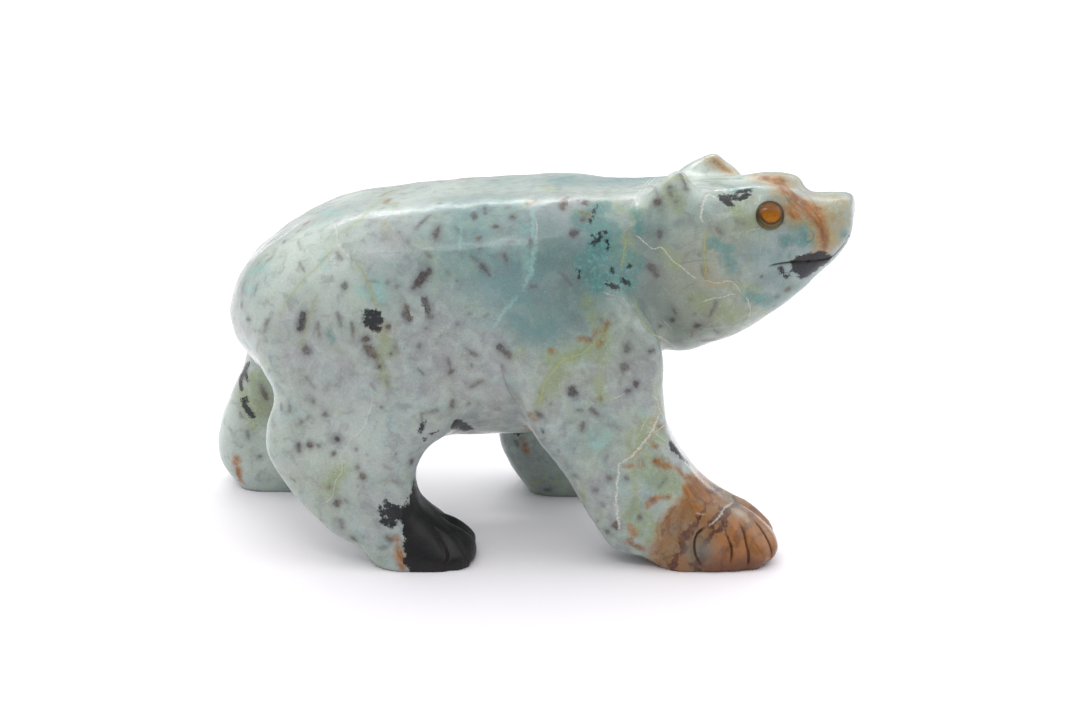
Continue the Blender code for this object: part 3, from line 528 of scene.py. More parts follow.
# Noises: how many swings to a millimetre, how much detail, and how rough that detail is
SWIRL_NOISE = (0.3, 3.0, 0.6)
SWIRL_PUSH = 5.0
MIDDLE_NOISE = (0.24, 4.0, 0.55)
RAGGED_NOISE = (0.6, 4.0, 0.6)
FINE_NOISE = (1.5, 4.0, 0.6)
GRITTY_NOISE = (3.4, 3.0, 0.65)
DUST_NOISE = (5.0, 2.0, 0.6)
BROAD_NOISE = (0.07, 3.0, 0.5)
CLOUDY_NOISE = (0.5, 2.0, 0.45)
BITTEN_NOISE = (1.5, 4.0, 0.7)
RUST_NOISE = (1.0, 3.0, 0.55)
WEAR_NOISE = (0.35, 4.0, 0.6)
SMEAR_NOISE = (3.0, 3.0, 0.6)
SCRATCH_NOISE = (1.0, 2.0, 0.5)
EYE_NOISE = (2.5, 4.0, 0.65)

# Wobbles: a noise and how far it swings to either side of zero
GRAIN_WOBBLE = (0.9, 4.0, 0.62, 1.05)
LINE_WOBBLE = (1.1, 5.0, 0.75, 3.0)
BAND_WOBBLE = (0.25, 2.0, 0.5, 3.0)
BLACK_PAW_WOBBLE = (0.8, 5.0, 0.7, 2.0)
AMBER_PAW_WOBBLE = (0.35, 4.0, 0.6, 3.0)

# Hairline scratches: how each set is turned, in radians, and how closely its scratches lie
SCRATCH_SETS = ((0.4, 0.9), (1.5, 1.3))

# The stone's polish: how rough it is, how much that changes, and the height of its scratches in millimetres
STONE_POLISH = (0.15, 0.2, 0.014)

# The eyes: sizes in millimetres from the middle of the face, and colours
EYE_CAD_RISE = 0.951
EYE_SEAT_REACH = 3.0
EYE_FACE_BEND = 0.03
EYE_RADIUS = 2.42
EYE_DOME_RADIUS = 1.95
EYE_RISE = 0.9
EYE_SHOULDER = 0.3
EYE_SHOULDER_SINK = 0.05
EYE_WALL = 0.3
EYE_SKIRT = 0.9
EYE_FOOT_SHARE = 0.98
EYE_RINGS = 14
EYE_SEGMENTS = 64
AMBER_DISC_RADIUS = 1.8
AMBER_DISC_LIFT = 0.3
EYE_AMBER = (0.19, 0.065, 0.006)
# The painted glow of light at the bottom of the amber disc
EYE_AMBER_PAINTED_GLOW = (0.40, 0.15, 0.012)
EYE_BROWN = (0.10, 0.045, 0.012)
EYE_LINE = (0.02, 0.012, 0.006)
EYE_OLIVE = (0.13, 0.10, 0.035)
EYE_OLIVE_DARK = (0.05, 0.04, 0.014)

# The stage: sizes and places in metres. Each light has its place, what it faces, its width and length, and
# how bright its face is
FLOOR_HALF = 3.0
FLOOR_COLOUR = (0.94, 0.915, 0.95)
FLOOR_ROUGHNESS = 0.6
CAMERA_CLIP = 0.01
TENT_COLOUR = (0.97, 0.97, 1.0)
TENT_RADIANCE = 0.25
LAMPS = {
    "roof": ((0, 0.55, 1.1), (0, 0.55, 0), (3.6, 3.2), 1.2),
    "back_wall": ((0, 2.3, 1.0), (0, 0, 0.2), (4.0, 2.0), 0.45),
    "left_wall": ((-1.6, 0.2, 0.7), (0, 0, 0.2), (2.0, 1.4), 0.9),
    "right_wall": ((1.6, 0.2, 0.7), (0, 0, 0.2), (2.0, 1.4), 0.9),
    "tube_back": ((-0.12, 0.43, 0.5), (0, 0, 0.03), (0.42, 0.035), 17.0),
    "tube_front": ((-0.06, -0.36, 0.5), (0, 0, 0.03), (0.25, 0.025), 17.0),
}


def unit(vectors):
    """Vectors scaled to length one."""
    return vectors / np.maximum(np.linalg.norm(vectors, axis=-1, keepdims=True), 1e-12)


def ease(low, high, value):
    """Smooth step from 0 at low to 1 at high; low may be the greater of the two."""
    t = np.clip((value - low) / (high - low), 0, 1)
    return t * t * (3 - 2 * t)


def camera_place():
    """Where the camera stands in millimetres, and its forward, right and up directions."""
    cos, sin = math.cos(CAMERA_PITCH), math.sin(CAMERA_PITCH)
    forward, right, up = Vector((0, cos, -sin)), Vector((1, 0, 0)), Vector((0, sin, cos))
    return Vector(CAMERA_AIM) - forward * CAMERA_DISTANCE, forward, right, up


def in_view(points):
    """The pixels of the view that points would fall on, hidden or not."""
    place, forward, right, up = (np.array(v) for v in camera_place())
    away = points - place
    deep = away @ forward
    across = VIEW_WIDTH / 2 + FOCAL_PIXELS * (away @ right) / deep
    down = VIEW_HEIGHT / 2 - FOCAL_PIXELS * (away @ up) / deep
    return np.stack([across, down], axis=1)


def added(name, data):
    """A new object in the scene that holds this mesh, light or camera."""
    thing = bpy.data.objects.new(name, data)
    bpy.context.scene.collection.objects.link(thing)
    return thing


def evaluated_copy(thing, name):
    """A mesh that holds what the object's modifiers make of it."""
    graph = bpy.context.evaluated_depsgraph_get()
    mesh = bpy.data.meshes.new_from_object(thing.evaluated_get(graph))
    mesh.name = name
    return mesh


def remeshed_bear():
    """The frame's bear, merged and remeshed with even cells of SKIN_STEP."""
    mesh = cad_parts["bear"].data.copy()
    shape = bmesh.new()
    shape.from_mesh(mesh)
    bmesh.ops.remove_doubles(shape, verts=shape.verts, dist=0.001 * MM)
    shape.to_mesh(mesh)
    shape.free()
    thing = added("bear_stone", mesh)
    even = thing.modifiers.new("even_cells", "REMESH")
    even.mode = "VOXEL"
    even.voxel_size = SKIN_STEP * MM
    fine = evaluated_copy(thing, "bear_stone")
    thing.modifiers.clear()
    thing.data = fine
    bpy.data.meshes.remove(mesh)
    return thing


def rows_of(collection, field, kind=float, width=3):
    """One array of a mesh collection's values, a row for each item."""
    flat = np.empty(len(collection) * width, dtype=kind)
    collection.foreach_get(field, flat)
    return flat.reshape(-1, width)


def points_of(mesh):
    """All the mesh's points in millimetres."""
    return rows_of(mesh.vertices, "co") / MM


def put_points(mesh, points):
    """Moves the mesh's points, given in millimetres."""
    mesh.vertices.foreach_set("co", (points * MM).ravel())
    mesh.update()


def smoothed(points, edges, passes):
    """Low-pass smoothing: each pass moves every point towards the mean of its neighbours by SMOOTH_IN and
    then away from it by SMOOTH_OUT, so that facets go and the volume stays. A point rests once it has had
    its own number of passes, and the soles stay flat."""
    a, b = edges.T
    count = len(points)
    degree = np.bincount(a, minlength=count) + np.bincount(b, minlength=count)
    sole = points[:, 2] < SOLE_HEIGHT
    for step in range(int(passes.max())):
        moving = np.clip(passes - step, 0, 1)[:, None]
        for share in (SMOOTH_IN, SMOOTH_OUT):
            mean = np.stack([np.bincount(a, points[b, k], count) + np.bincount(b, points[a, k], count)
                             for k in range(3)], axis=1) / degree[:, None]
            points = points + share * moving * (mean - points)
            points[sole, 2] = 0
    return points


def smoothing_passes(points):
    """How many passes each point gets: few on the head, whose carving is finer, and many on the body."""
    head = ease(*HEAD_START, points[:, 0]) * ease(*HEAD_HEIGHT, points[:, 2])
    return BODY_PASSES + (HEAD_PASSES - BODY_PASSES) * head


def waves(points, wavelength, seed):
    """Smooth noise: the sum of plane waves in random directions, of about this wavelength, near -1 to 1."""
    rng = np.random.default_rng(seed)
    direction = unit(rng.normal(size=(WAVE_COUNT, 3)))
    pace = 2 * np.pi / (wavelength * rng.uniform(0.7, 1.4, WAVE_COUNT))
    turn = rng.uniform(0, 2 * np.pi, WAVE_COUNT)
    return np.sin(points @ (direction * pace[:, None]).T + turn).sum(axis=1) / math.sqrt(WAVE_COUNT / 2)


def stone_tree(thing):
    """A search tree over the stone's faces, in metres."""
    return BVHTree.FromObject(thing, bpy.context.evaluated_depsgraph_get())


def curve_through(stops, step):
    """Points about a step apart on a Catmull-Rom curve through the stops."""
    p = np.array(stops, float)
    ends = np.vstack([2 * p[0] - p[1], p, 2 * p[-1] - p[-2]])
    out = [p[:1]]
    for a, b, c, d in zip(ends, ends[1:], ends[2:], ends[3:]):
        count = max(1, math.ceil(np.linalg.norm(c - b) / step))
        t = np.arange(1, count + 1)[:, None] / count
        out.append(0.5 * (2 * b + (c - a) * t + (2 * a - 5 * b + 4 * c - d) * t**2
                          + (3 * b - a - 3 * c + d) * t**3))
    return np.concatenate(out)


def laid_on(tree, pixels):
    """Where rays through pixels of the view first meet the stone. Rays that miss it are dropped."""
    place, forward, right, up = camera_place()
    found = []
    for x, y in pixels:
        ray = forward * FOCAL_PIXELS + right * (x - VIEW_WIDTH / 2) + up * (VIEW_HEIGHT / 2 - y)
        spot = tree.ray_cast(place * MM, ray.normalized())[0]
        if spot is not None:
            found.append(spot / MM)
    return np.array(found).reshape(-1, 3)


def snapped(tree, chain):
    """Each point of the chain moved to the nearest place on the stone."""
    return np.array([tree.find_nearest(Vector(p * MM))[0] for p in chain]) / MM


def chain_offset(points, normals, chain):
    """Signed distance from points to a chain over the stone, left of it above zero, the length along the
    chain of the nearest place, and the chain's whole length."""
    best = np.full(len(points), np.inf)
    offset, along = np.zeros(len(points)), np.zeros(len(points))
    travelled = 0.0
    for start, stop in zip(chain, chain[1:]):
        run = stop - start
        length = float(np.linalg.norm(run))
        if length == 0:
            continue
        share = np.clip((points - start) @ run / length**2, 0, 1)
        away = points - start - share[:, None] * run
        distance = np.linalg.norm(away, axis=1)
        side = np.sign((away * np.cross(normals, run)).sum(axis=1))
        nearer = distance < best
        best = np.where(nearer, distance, best)
        offset = np.where(nearer, distance * np.where(side == 0, 1, side), offset)
        along = np.where(nearer, travelled + share * length, along)
        travelled += length
    return offset, along, travelled


def near_chain(points, chain, reach):
    """Numbers of the points inside the chain's box grown by the reach."""
    low, high = chain.min(axis=0) - reach, chain.max(axis=0) + reach
    return np.flatnonzero(((points > low) & (points < high)).all(axis=1))


def mouth_chain(tree):
    """The mouth line round the muzzle: the right side as seen, and its mirror image over the head's middle
    plane on the left, each point snapped to the stone."""
    right = laid_on(tree, curve_through(MOUTH_LINE, CUT_PIXEL_STEP))
    across = np.array((-math.sin(HEAD_TURN), math.cos(HEAD_TURN), 0.0))
    pivot = np.array((*HEAD_PIVOT, 0.0))
    left = right - 2 * ((right - pivot) @ across)[:, None] * across
    return snapped(tree, curve_through(np.concatenate([right, left[::-1]]), CUT_STEP))


def toe_chains(tree):
    """Every toe cut, over the toes to the sole: those of the near paws as seen, and the rest along rays
    from inside their paw that sink from TOE_CUT_RISE above level to TOE_CUT_DROP below it."""
    chains = [laid_on(tree, curve_through(cut, CUT_PIXEL_STEP)) for cut in NEAR_TOE_CUTS]
    for (fan_x, fan_y), angles in TOE_FANS:
        centre = Vector((fan_x, fan_y, TOE_FAN_HEIGHT))
        for angle in angles:
            turn = math.radians(angle)
            chain = []
            for rise in np.linspace(TOE_CUT_RISE, -TOE_CUT_DROP, TOE_CUT_STATIONS):
                level = math.cos(rise)
                ray = Vector((level * math.cos(turn), level * math.sin(turn), math.sin(rise)))
                spot = tree.ray_cast(centre * MM, ray)[0]
                if spot is not None:
                    chain.append(spot / MM)
            chains.append(np.array(chain))
    return chains


def refined(thing, chains):
    """Halves the mesh's edges near the chains, once for each reach."""
    for reach in FINE_REACHES:
        points = points_of(thing.data)
        close = np.zeros(len(points), bool)
        for chain in chains:
            near = near_chain(points, chain, reach)
            gaps = np.linalg.norm(points[near][:, None] - chain[None], axis=2).min(axis=1)
            close[near[gaps < reach]] = True
        shape = bmesh.new()
        shape.from_mesh(thing.data)
        shape.verts.ensure_lookup_table()
        edges = [e for e in shape.edges if close[e.verts[0].index] and close[e.verts[1].index]]
        bmesh.ops.subdivide_edges(shape, edges=edges, cuts=1, use_grid_fill=True)
        shape.to_mesh(thing.data)
        shape.free()


def cut_grooves(points, normals, chains, width, depth, run_in):
    """How far a round-bottomed groove along each chain sinks every point: it fades in over its first and
    last run_in."""
    sink = np.zeros(len(points))
    for chain in chains:
        near = near_chain(points, chain, width)
        offset, along, length = chain_offset(points[near], normals[near], chain)
        fade = ease(0, run_in, along) * ease(0, run_in, length - along)
        across = np.clip(np.abs(offset) / (width / 2), 0, 1)
        sink[near] = np.maximum(sink[near], depth * fade * (1 - across**2) ** 1.5)
    return sink


def polish(points, normals):
    """Adds the soft waves that hand polishing leaves, none of them near the soles."""
    rise = sum(height * waves(points, wavelength, seed) for wavelength, height, seed in POLISH_WAVES)
    return points + normals * (rise * ease(*POLISH_START, points[:, 2]))[:, None]


def eye_place(node):
    """The middle of an eye's seat at the level of the face, and its outward direction: the frame's eye is
    turned, so its points spread least along its axis."""
    points = np.unique(np.round(points_of(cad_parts[node].data), 4), axis=0)
    centre = points.mean(axis=0)
    axis = np.linalg.svd(points - centre)[2][2]
    axis = axis * np.sign(axis[:2] @ (centre[:2] - np.array(HEAD_PIVOT)))
    return centre + (((points - centre) @ axis).max() - EYE_CAD_RISE) * axis, axis


def seats_filled(points):
    """Lifts the floors of the eye seats to a gently bent face, so that the stone closes round each eye."""
    for node in ("eye_right", "eye_left"):
        centre, axis = eye_place(node)
        away = points - centre
        height = away @ axis
        radius = np.linalg.norm(away - height[:, None] * axis, axis=1)
        low = -EYE_FACE_BEND * radius**2
        sunk = (radius < EYE_SEAT_REACH) & (np.abs(height) < EYE_SEAT_REACH) & (height < low)
        points = points + np.where(sunk, low - height, 0.0)[:, None] * axis
    return points


def put_values(mesh, name, values):
    """Stores one number or one vector for each of the mesh's points under this name."""
    if values.ndim == 1:
        mesh.attributes.new(name, "FLOAT", "POINT").data.foreach_set("value", values.astype(np.float32))
    else:
        field = mesh.attributes.new(name, "FLOAT_VECTOR", "POINT")
        field.data.foreach_set("vector", values.astype(np.float32).ravel())


def hidden_spots(tree, points, count, gap, seed):
    """Numbers of random points that the view doesn't show, at least a gap apart."""
    rng = np.random.default_rng(seed)
    place = camera_place()[0]
    chosen = []
    for number in rng.permutation(len(points)):
        if len(chosen) == count:
            break
        point = points[number]
        if point[2] < LOWEST_SPOT or any(np.linalg.norm(points[n] - point) < gap for n in chosen):
            continue
        ray = Vector(point) - place
        spot = tree.ray_cast(place * MM, ray.normalized())[0]
        if spot is None or (spot / MM - Vector(point)).length > HIDDEN_BY:
            chosen.append(number)
    return chosen


def wandering(tree, start, normal, length, rng):
    """A crooked line over the stone from a start: steps of LINE_STEP that turn a little at random, each
    snapped to the surface."""
    direction = unit(np.cross(normal, rng.normal(size=3)))
    chain = [start]
    for _ in range(int(length / LINE_STEP)):
        turn = math.radians(rng.normal(0, WANDER_TURN))
        direction = direction * math.cos(turn) + np.cross(normal, direction) * math.sin(turn)
        spot, normal, _, _ = tree.find_nearest(Vector((chain[-1] + direction * LINE_STEP) * MM))
        normal = np.array(normal)
        chain.append(np.array(spot) / MM)
        direction = unit(direction - (direction @ normal) * normal)
    return curve_through(chain, WANDER_STEP)


def random_grain(middle, normal, lengths, widths, spread, tones, rng):
    """A grain of random run, size and tone in these ranges."""
    run = np.cross(normal, rng.normal(size=3))
    half = rng.gamma(*lengths)
    tone = rng.uniform(*tones)
    return middle, run, normal, half, rng.uniform(*widths) + spread * half, tone


def grain_list(tree, points, normals):
    """Every grain: its middle, run, normal, half length, half width, tone and warmth. Those that the view
    shows are laid on the stone from there, and the rest lie at random."""
    rng = np.random.default_rng(GRAIN_SEED)
    grains = []
    for x0, y0, x1, y1, width, tone in GRAINS:
        ends = laid_on(tree, ((x0, y0), (x1 + SHORTEST_GRAIN, y1)))
        if len(ends) == 2:
            middle, run = ends.mean(axis=0), ends[1] - ends[0]
            normal = tree.find_nearest(Vector(middle * MM))[1]
            grains.append((middle, run, np.array(normal), np.linalg.norm(run) / 2, width * PIXEL / 2, tone))
    for number in hidden_spots(tree, points, HIDDEN_GRAINS, HIDDEN_GRAIN_GAP, GRAIN_SEED):
        grains.append(random_grain(points[number], normals[number], *BOLD_GRAIN, rng))
    for number in rng.choice(len(points), FAINT_GRAINS, replace=False):
        grains.append(random_grain(points[number], normals[number], *FAINT_GRAIN, rng))
    return [(*grain, rng.uniform(0, 1) ** 2) for grain in grains]


def spread_out(sets, gap):
    """Shares out sets of points over GROUPS groups, so that the sets of a group stay a gap apart where they
    can: a list with the number of each set's group."""
    groups = [[] for _ in range(GROUPS)]
    homes = []
    for one in sets:
        room = [min((np.linalg.norm(other[:, None] - one[None], axis=2).min() for other in group),
                    default=math.inf) for group in groups]
        free = [home for home, space in enumerate(room) if space > gap]
        home = free[0] if free else int(np.argmax(room))
        groups[home].append(one)
        homes.append(home)
    return homes


def put_grains(mesh, points, normals, grains):
    """Stores, for each group, every point's place along and across its nearest grain with the grain's tone,
    and the grain's half length, half width and warmth. The half width is -FAR beyond GRAIN_MARGIN from any
    grain, and halfway between two grains of one group."""
    sets = [middle + unit(run) * np.linspace(-half, half, 3)[:, None] for middle, run, _, half, *_ in grains]
    homes = spread_out(sets, GRAIN_GAP)
    for group in range(GROUPS):
        place, size = np.zeros((len(points), 3)), np.tile((0.0, -FAR, 0.0), (len(points), 1))
        nearest, second = np.full(len(points), np.inf), np.full(len(points), np.inf)
        for (middle, run, normal, half, width, tone, warmth), home in zip(grains, homes):
            if home != group:
                continue
            reach = half + width + GRAIN_MARGIN
            near = np.flatnonzero((np.abs(points - middle) < reach).all(axis=1))
            away = points[near] - middle
            along_way = unit(run - (run @ normal) * normal)
            along, across = away @ along_way, away @ np.cross(normal, along_way)
            gap = np.hypot(np.maximum(np.abs(along) - half, 0), across) - width
            facing = (normals[near] @ normal > 0) & (np.abs(away @ normal) < reach)
            keep = facing & (gap < nearest[near])
            further = np.where(facing, np.minimum(second[near], gap), second[near])
            second[near] = np.where(keep, nearest[near], further)
            near, along, across, gap = near[keep], along[keep], across[keep], gap[keep]
            nearest[near] = gap
            place[near] = np.stack([along, across, np.full(len(near), tone)], axis=1)
            size[near] = (half, width, warmth)
        between = (second - nearest < GRAIN_MARGIN) & (nearest > 0.1)
        size[between | (nearest > GRAIN_MARGIN)] = (0.0, -FAR, 0.0)
        put_values(mesh, f"grain_place_{group}", place)
        put_values(mesh, f"grain_size_{group}", size)


def file_marks():
    """Faint parallel marks of the file, scattered in each bundle's box."""
    rng = np.random.default_rng(FILE_MARK_SEED)
    marks = []
    for (left, top, right, bottom), (across, down), count in FILE_MARKS:
        for _ in range(count):
            x, y, share = rng.uniform(left, right), rng.uniform(top, bottom), rng.uniform(*FILE_MARK_LENGTHS)
            strength = rng.uniform(*FILE_MARK_STRENGTHS)
            marks.append((FILE_MARK_WIDTH, strength, (x, y), (x + share * across, y + share * down)))
    return tuple(marks)


def line_list(tree, points, normals):
    """Every line in the stone: its chain, half width, strength and kind. Those that the view shows are laid
    on from there, and the rest wander at random."""
    lines = []
    drawn_kinds = (WHITE_LINES + file_marks(), YELLOW_LINES, DARK_LINES, AQUA_LINES, TEAL_LINES, BROWN_LINES)
    for kind, drawn in enumerate(drawn_kinds):
        for half_width, strength, *stops in drawn:
            chain = laid_on(tree, curve_through(stops, LINE_PIXEL_STEP))
            if len(chain) > 1:
                lines.append((chain, half_width, strength, kind))
    rng = np.random.default_rng(LINE_SEED)
    for number in hidden_spots(tree, points, HIDDEN_LINES, HIDDEN_LINE_GAP, LINE_SEED):
        chain = wandering(tree, points[number], normals[number], rng.uniform(*HIDDEN_LINE_LENGTHS), rng)
        kind = int(rng.choice(len(HIDDEN_LINE_SHARES), p=HIDDEN_LINE_SHARES))
        half_width, strength = rng.uniform(*HIDDEN_LINE_WIDTHS), rng.uniform(*HIDDEN_LINE_STRENGTHS)
        lines.append((chain, half_width, strength, kind))
    return lines


def put_lines(mesh, points, normals, lines):
    """Stores, for each group, every point's offset from its nearest line in half widths, the line's
    strength there and its kind. The strength fades at the ends and away from the line."""
    homes = spread_out([chain for chain, *_ in lines], LINE_GAP)
    for group in range(GROUPS):
        field = np.zeros((len(points), 3))
        nearest = np.full(len(points), np.inf)
        for (chain, half_width, strength, kind), home in zip(lines, homes):
            if home != group:
                continue
            near = near_chain(points, chain, LINE_FADE[1])
            offset, along, length = chain_offset(points[near], normals[near], chain)
            keep = np.abs(offset) < nearest[near]
            near, offset, along = near[keep], offset[keep], along[keep]
            nearest[near] = np.abs(offset)
            ends = ease(0, LINE_RUN_IN, along) * ease(0, LINE_RUN_IN, length - along)
            fade = ends * ease(LINE_FADE[1], LINE_FADE[0], np.abs(offset))
            field[near] = np.stack([offset / half_width, strength * fade, np.full(len(near), kind)], axis=1)
        put_values(mesh, f"line_{group}", field)


def distance_to(points, start, stop):
    """Distance of points from a straight line between two places."""
    run = stop - start
    share = np.clip((points - start) @ run / max(run @ run, 1e-9), 0, 1)
    return np.linalg.norm(points - start - share[:, None] * run, axis=1)


def zone_reach(tree, points, zones, spots, rng):
    """Signed distance to the nearest of some zones, below zero inside: those drawn in the view, and some of
    random size and lie at spots on the hidden side."""
    reach = np.full(len(points), ZONE_FAR)
    for x0, y0, x1, y1, radius in zones:
        ends = laid_on(tree, ((x0, y0), (x1, y1)))
        if len(ends):
            reach = np.minimum(reach, distance_to(points, ends[0], ends[-1]) - radius * PIXEL)
    for spot in spots:
        size, lie = rng.uniform(*HIDDEN_ZONE_SIZES), rng.normal(scale=HIDDEN_ZONE_LIE, size=3)
        reach = np.minimum(reach, distance_to(points, spot - lie, spot + lie) - size)
    return reach


def tint_strength(tree, points, tints, spots, rng):
    """How strongly broad tints act at each point: the sum of round bells about their centres, which are
    drawn in the view or are spots on the hidden side."""
    total = np.zeros(len(points))
    bells = [(laid_on(tree, ((x, y),)), radius * PIXEL, strength) for x, y, radius, strength in tints]
    for spot in spots:
        radius, strength = rng.uniform(*HIDDEN_TINT_SIZES), rng.uniform(*HIDDEN_TINT_STRENGTHS)
        bells.append(([spot], radius, strength))
    for centre, radius, strength in bells:
        if len(centre):
            total += strength * np.exp(-(np.linalg.norm(points - centre[0], axis=1) / radius)**2)
    return np.clip(total, 0, 1)


def side_of(pixels, border):
    """Signed distance in pixels from points of the view to a border drawn downwards: above zero on its
    right."""
    best = np.full(len(pixels), np.inf)
    signed = np.zeros(len(pixels))
    for start, stop in zip(np.array(border, float), np.array(border[1:], float)):
        run = stop - start
        share = np.clip((pixels - start) @ run / (run @ run), 0, 1)
        away = pixels - start - share[:, None] * run
        distance = np.linalg.norm(away, axis=1)
        side = np.sign(away[:, 0] * run[1] - away[:, 1] * run[0])
        nearer = distance < best
        best = np.where(nearer, distance, best)
        signed = np.where(nearer, distance * side, signed)
    return signed


def paw_reach(points, border, low, high):
    """Signed distance into a coloured paw, from its border as the view shows it, all round the paw. Points
    outside the paw's own box are far from it."""
    inside = ((points > np.array(low)) & (points < np.array(high))).all(axis=1)
    return np.where(inside, side_of(in_view(points), border) * PIXEL, -ZONE_FAR)


def put_colour_fields(mesh, tree, points):
    """Stores what the material needs to colour the stone besides grains and lines."""
    rng = np.random.default_rng(ZONE_SEED)
    reaches = []
    for number, (zones, count) in enumerate(ZONE_KINDS):
        chosen = hidden_spots(tree, points, count, HIDDEN_ZONE_GAP, ZONE_SEED + number)
        reaches.append(zone_reach(tree, points, zones, points[chosen], rng))
    put_values(mesh, "reach_dark", np.stack(reaches[:3], axis=1))
    put_values(mesh, "reach_light", np.stack(reaches[3:], axis=1))
    tints = []
    for number, (drawn, count) in enumerate(TINT_KINDS):
        chosen = hidden_spots(tree, points, count, HIDDEN_TINT_GAP, TINT_SEED + number)
        tints.append(tint_strength(tree, points, drawn, points[chosen], rng))
    put_values(mesh, "tint", np.stack(tints[:3], axis=1))
    put_values(mesh, "tint_pale_and_painted_light", tints[3])
    put_values(mesh, "tint_olive", tints[4])
    put_values(mesh, "black_paw", paw_reach(points, BLACK_PAW_BORDER, *BLACK_PAW_BOX))
    put_values(mesh, "amber_paw", paw_reach(points, AMBER_PAW_BORDER, *AMBER_PAW_BOX))


class Bench:
    """A shader tree being wired. Each call adds a node and gives back one of its outputs."""

    def __init__(self, tree):
        self.tree = tree

    def node(self, kind, inlets, **settings):
        """Adds a node; inlets are pairs of a socket's name or number and its value or the output it takes."""
        node = self.tree.nodes.new(kind)
        for name, value in settings.items():
            setattr(node, name, value)
        for socket, value in inlets:
            if isinstance(value, bpy.types.NodeSocket):
                self.tree.links.new(value, node.inputs[socket])
            else:
                node.inputs[socket].default_value = value
        return node

    def math(self, operation, *terms):
        return self.node("ShaderNodeMath", enumerate(terms), operation=operation).outputs[0]

    def less(self, first, second):
        return self.math("SUBTRACT", first, second)

    def vector(self, operation, *terms):
        return self.node("ShaderNodeVectorMath", enumerate(terms), operation=operation).outputs[0]

    def scaled(self, vector, factor):
        inlets = ((0, vector), ("Scale", factor))
        return self.node("ShaderNodeVectorMath", inlets, operation="SCALE").outputs[0]

    def mix(self, share, under, over, how="MIX"):
        inlets = ((0, share), (6, under), (7, over))
        return self.node("ShaderNodeMix", inlets, data_type="RGBA", blend_type=how).outputs[2]

    def noise(self, place, scale, detail, rough, outlet=0):
        inlets = (("Vector", place), ("Scale", scale), ("Detail", detail), ("Roughness", rough))
        return self.node("ShaderNodeTexNoise", inlets).outputs[outlet]

    def ease(self, value, low, high, bottom=0.0, top=1.0):
        """Smooth step from bottom at low to top at high."""
        inlets = ((0, value), (1, low), (2, high), (3, bottom), (4, top))
        return self.node("ShaderNodeMapRange", inlets, interpolation_type="SMOOTHSTEP").outputs[0]

    def attribute(self, name, outlet="Vector"):
        return self.node("ShaderNodeAttribute", (), attribute_name=name).outputs[outlet]

    def split(self, vector):
        return self.node("ShaderNodeSeparateXYZ", ((0, vector),)).outputs

    def add(self, first, *more):
        for term in more:
            first = self.math("ADD", first, term)
        return first

    def times(self, first, *more):
        for term in more:
            first = self.math("MULTIPLY", first, term)
        return first

    def wobble(self, place, scale, detail, rough, amount):
        """Noise that swings by the amount to either side of zero."""
        centred = self.less(self.noise(place, scale, detail, rough), 0.5)
        return self.math("MULTIPLY", centred, 2 * amount)

    def group(self, tree, outlet, *terms):
        """Places a node group with these values on its inputs, in their order."""
        return self.node("ShaderNodeGroup", enumerate(terms), node_tree=tree).outputs[outlet]


def colour(red, green, blue):
    return (red, green, blue, 1.0)


def new_material(name):
    """A material with this name, its shader tree and the shader in it."""
    material = bpy.data.materials.new(name)
    material.use_nodes = True
    return material, material.node_tree, material.node_tree.nodes["Principled BSDF"]


def new_group(name, inlets, outlets):
    """A node group with these inputs and outputs, as (name, kind) pairs, the bench to wire it on, and the
    sockets that give its inputs and take its outputs."""
    tree = bpy.data.node_groups.new(name, "ShaderNodeTree")
    for label, kind in inlets:
        tree.interface.new_socket(label, in_out="INPUT", socket_type="NodeSocket" + kind)
    for label, kind in outlets:
        tree.interface.new_socket(label, in_out="OUTPUT", socket_type="NodeSocket" + kind)
    given, out = tree.nodes.new("NodeGroupInput"), tree.nodes.new("NodeGroupOutput")
    return tree, Bench(tree), given.outputs, out.inputs


class StoneBench(Bench):
    """The bench for the stone, with its places in millimetres and the noises that many of its marks share."""

    def __init__(self, tree):
        super().__init__(tree)
        self.place = self.scaled(self.node("ShaderNodeTexCoord", ()).outputs["Object"], 1 / MM)
        swirl = self.noise(self.place, *SWIRL_NOISE, outlet=1)
        self.sea, self.leaf, _ = self.split(swirl)
        centred = self.vector("SUBTRACT", swirl, (0.5, 0.5, 0.5))
        self.warped = self.vector("ADD", self.place, self.scaled(centred, SWIRL_PUSH))
        self.middle = self.noise(self.warped, *MIDDLE_NOISE)
        self.ragged = self.less(self.noise(self.place, *RAGGED_NOISE), 0.5)
        self.fine = self.noise(self.place, *FINE_NOISE)
        self.gritty = self.noise(self.place, *GRITTY_NOISE)
        self.dust = self.noise(self.place, *DUST_NOISE)

    def laid(self, under, share, over):
        """A colour laid over another where the share says."""
        return self.mix(share, under, colour(*over) if isinstance(over, tuple) else over)


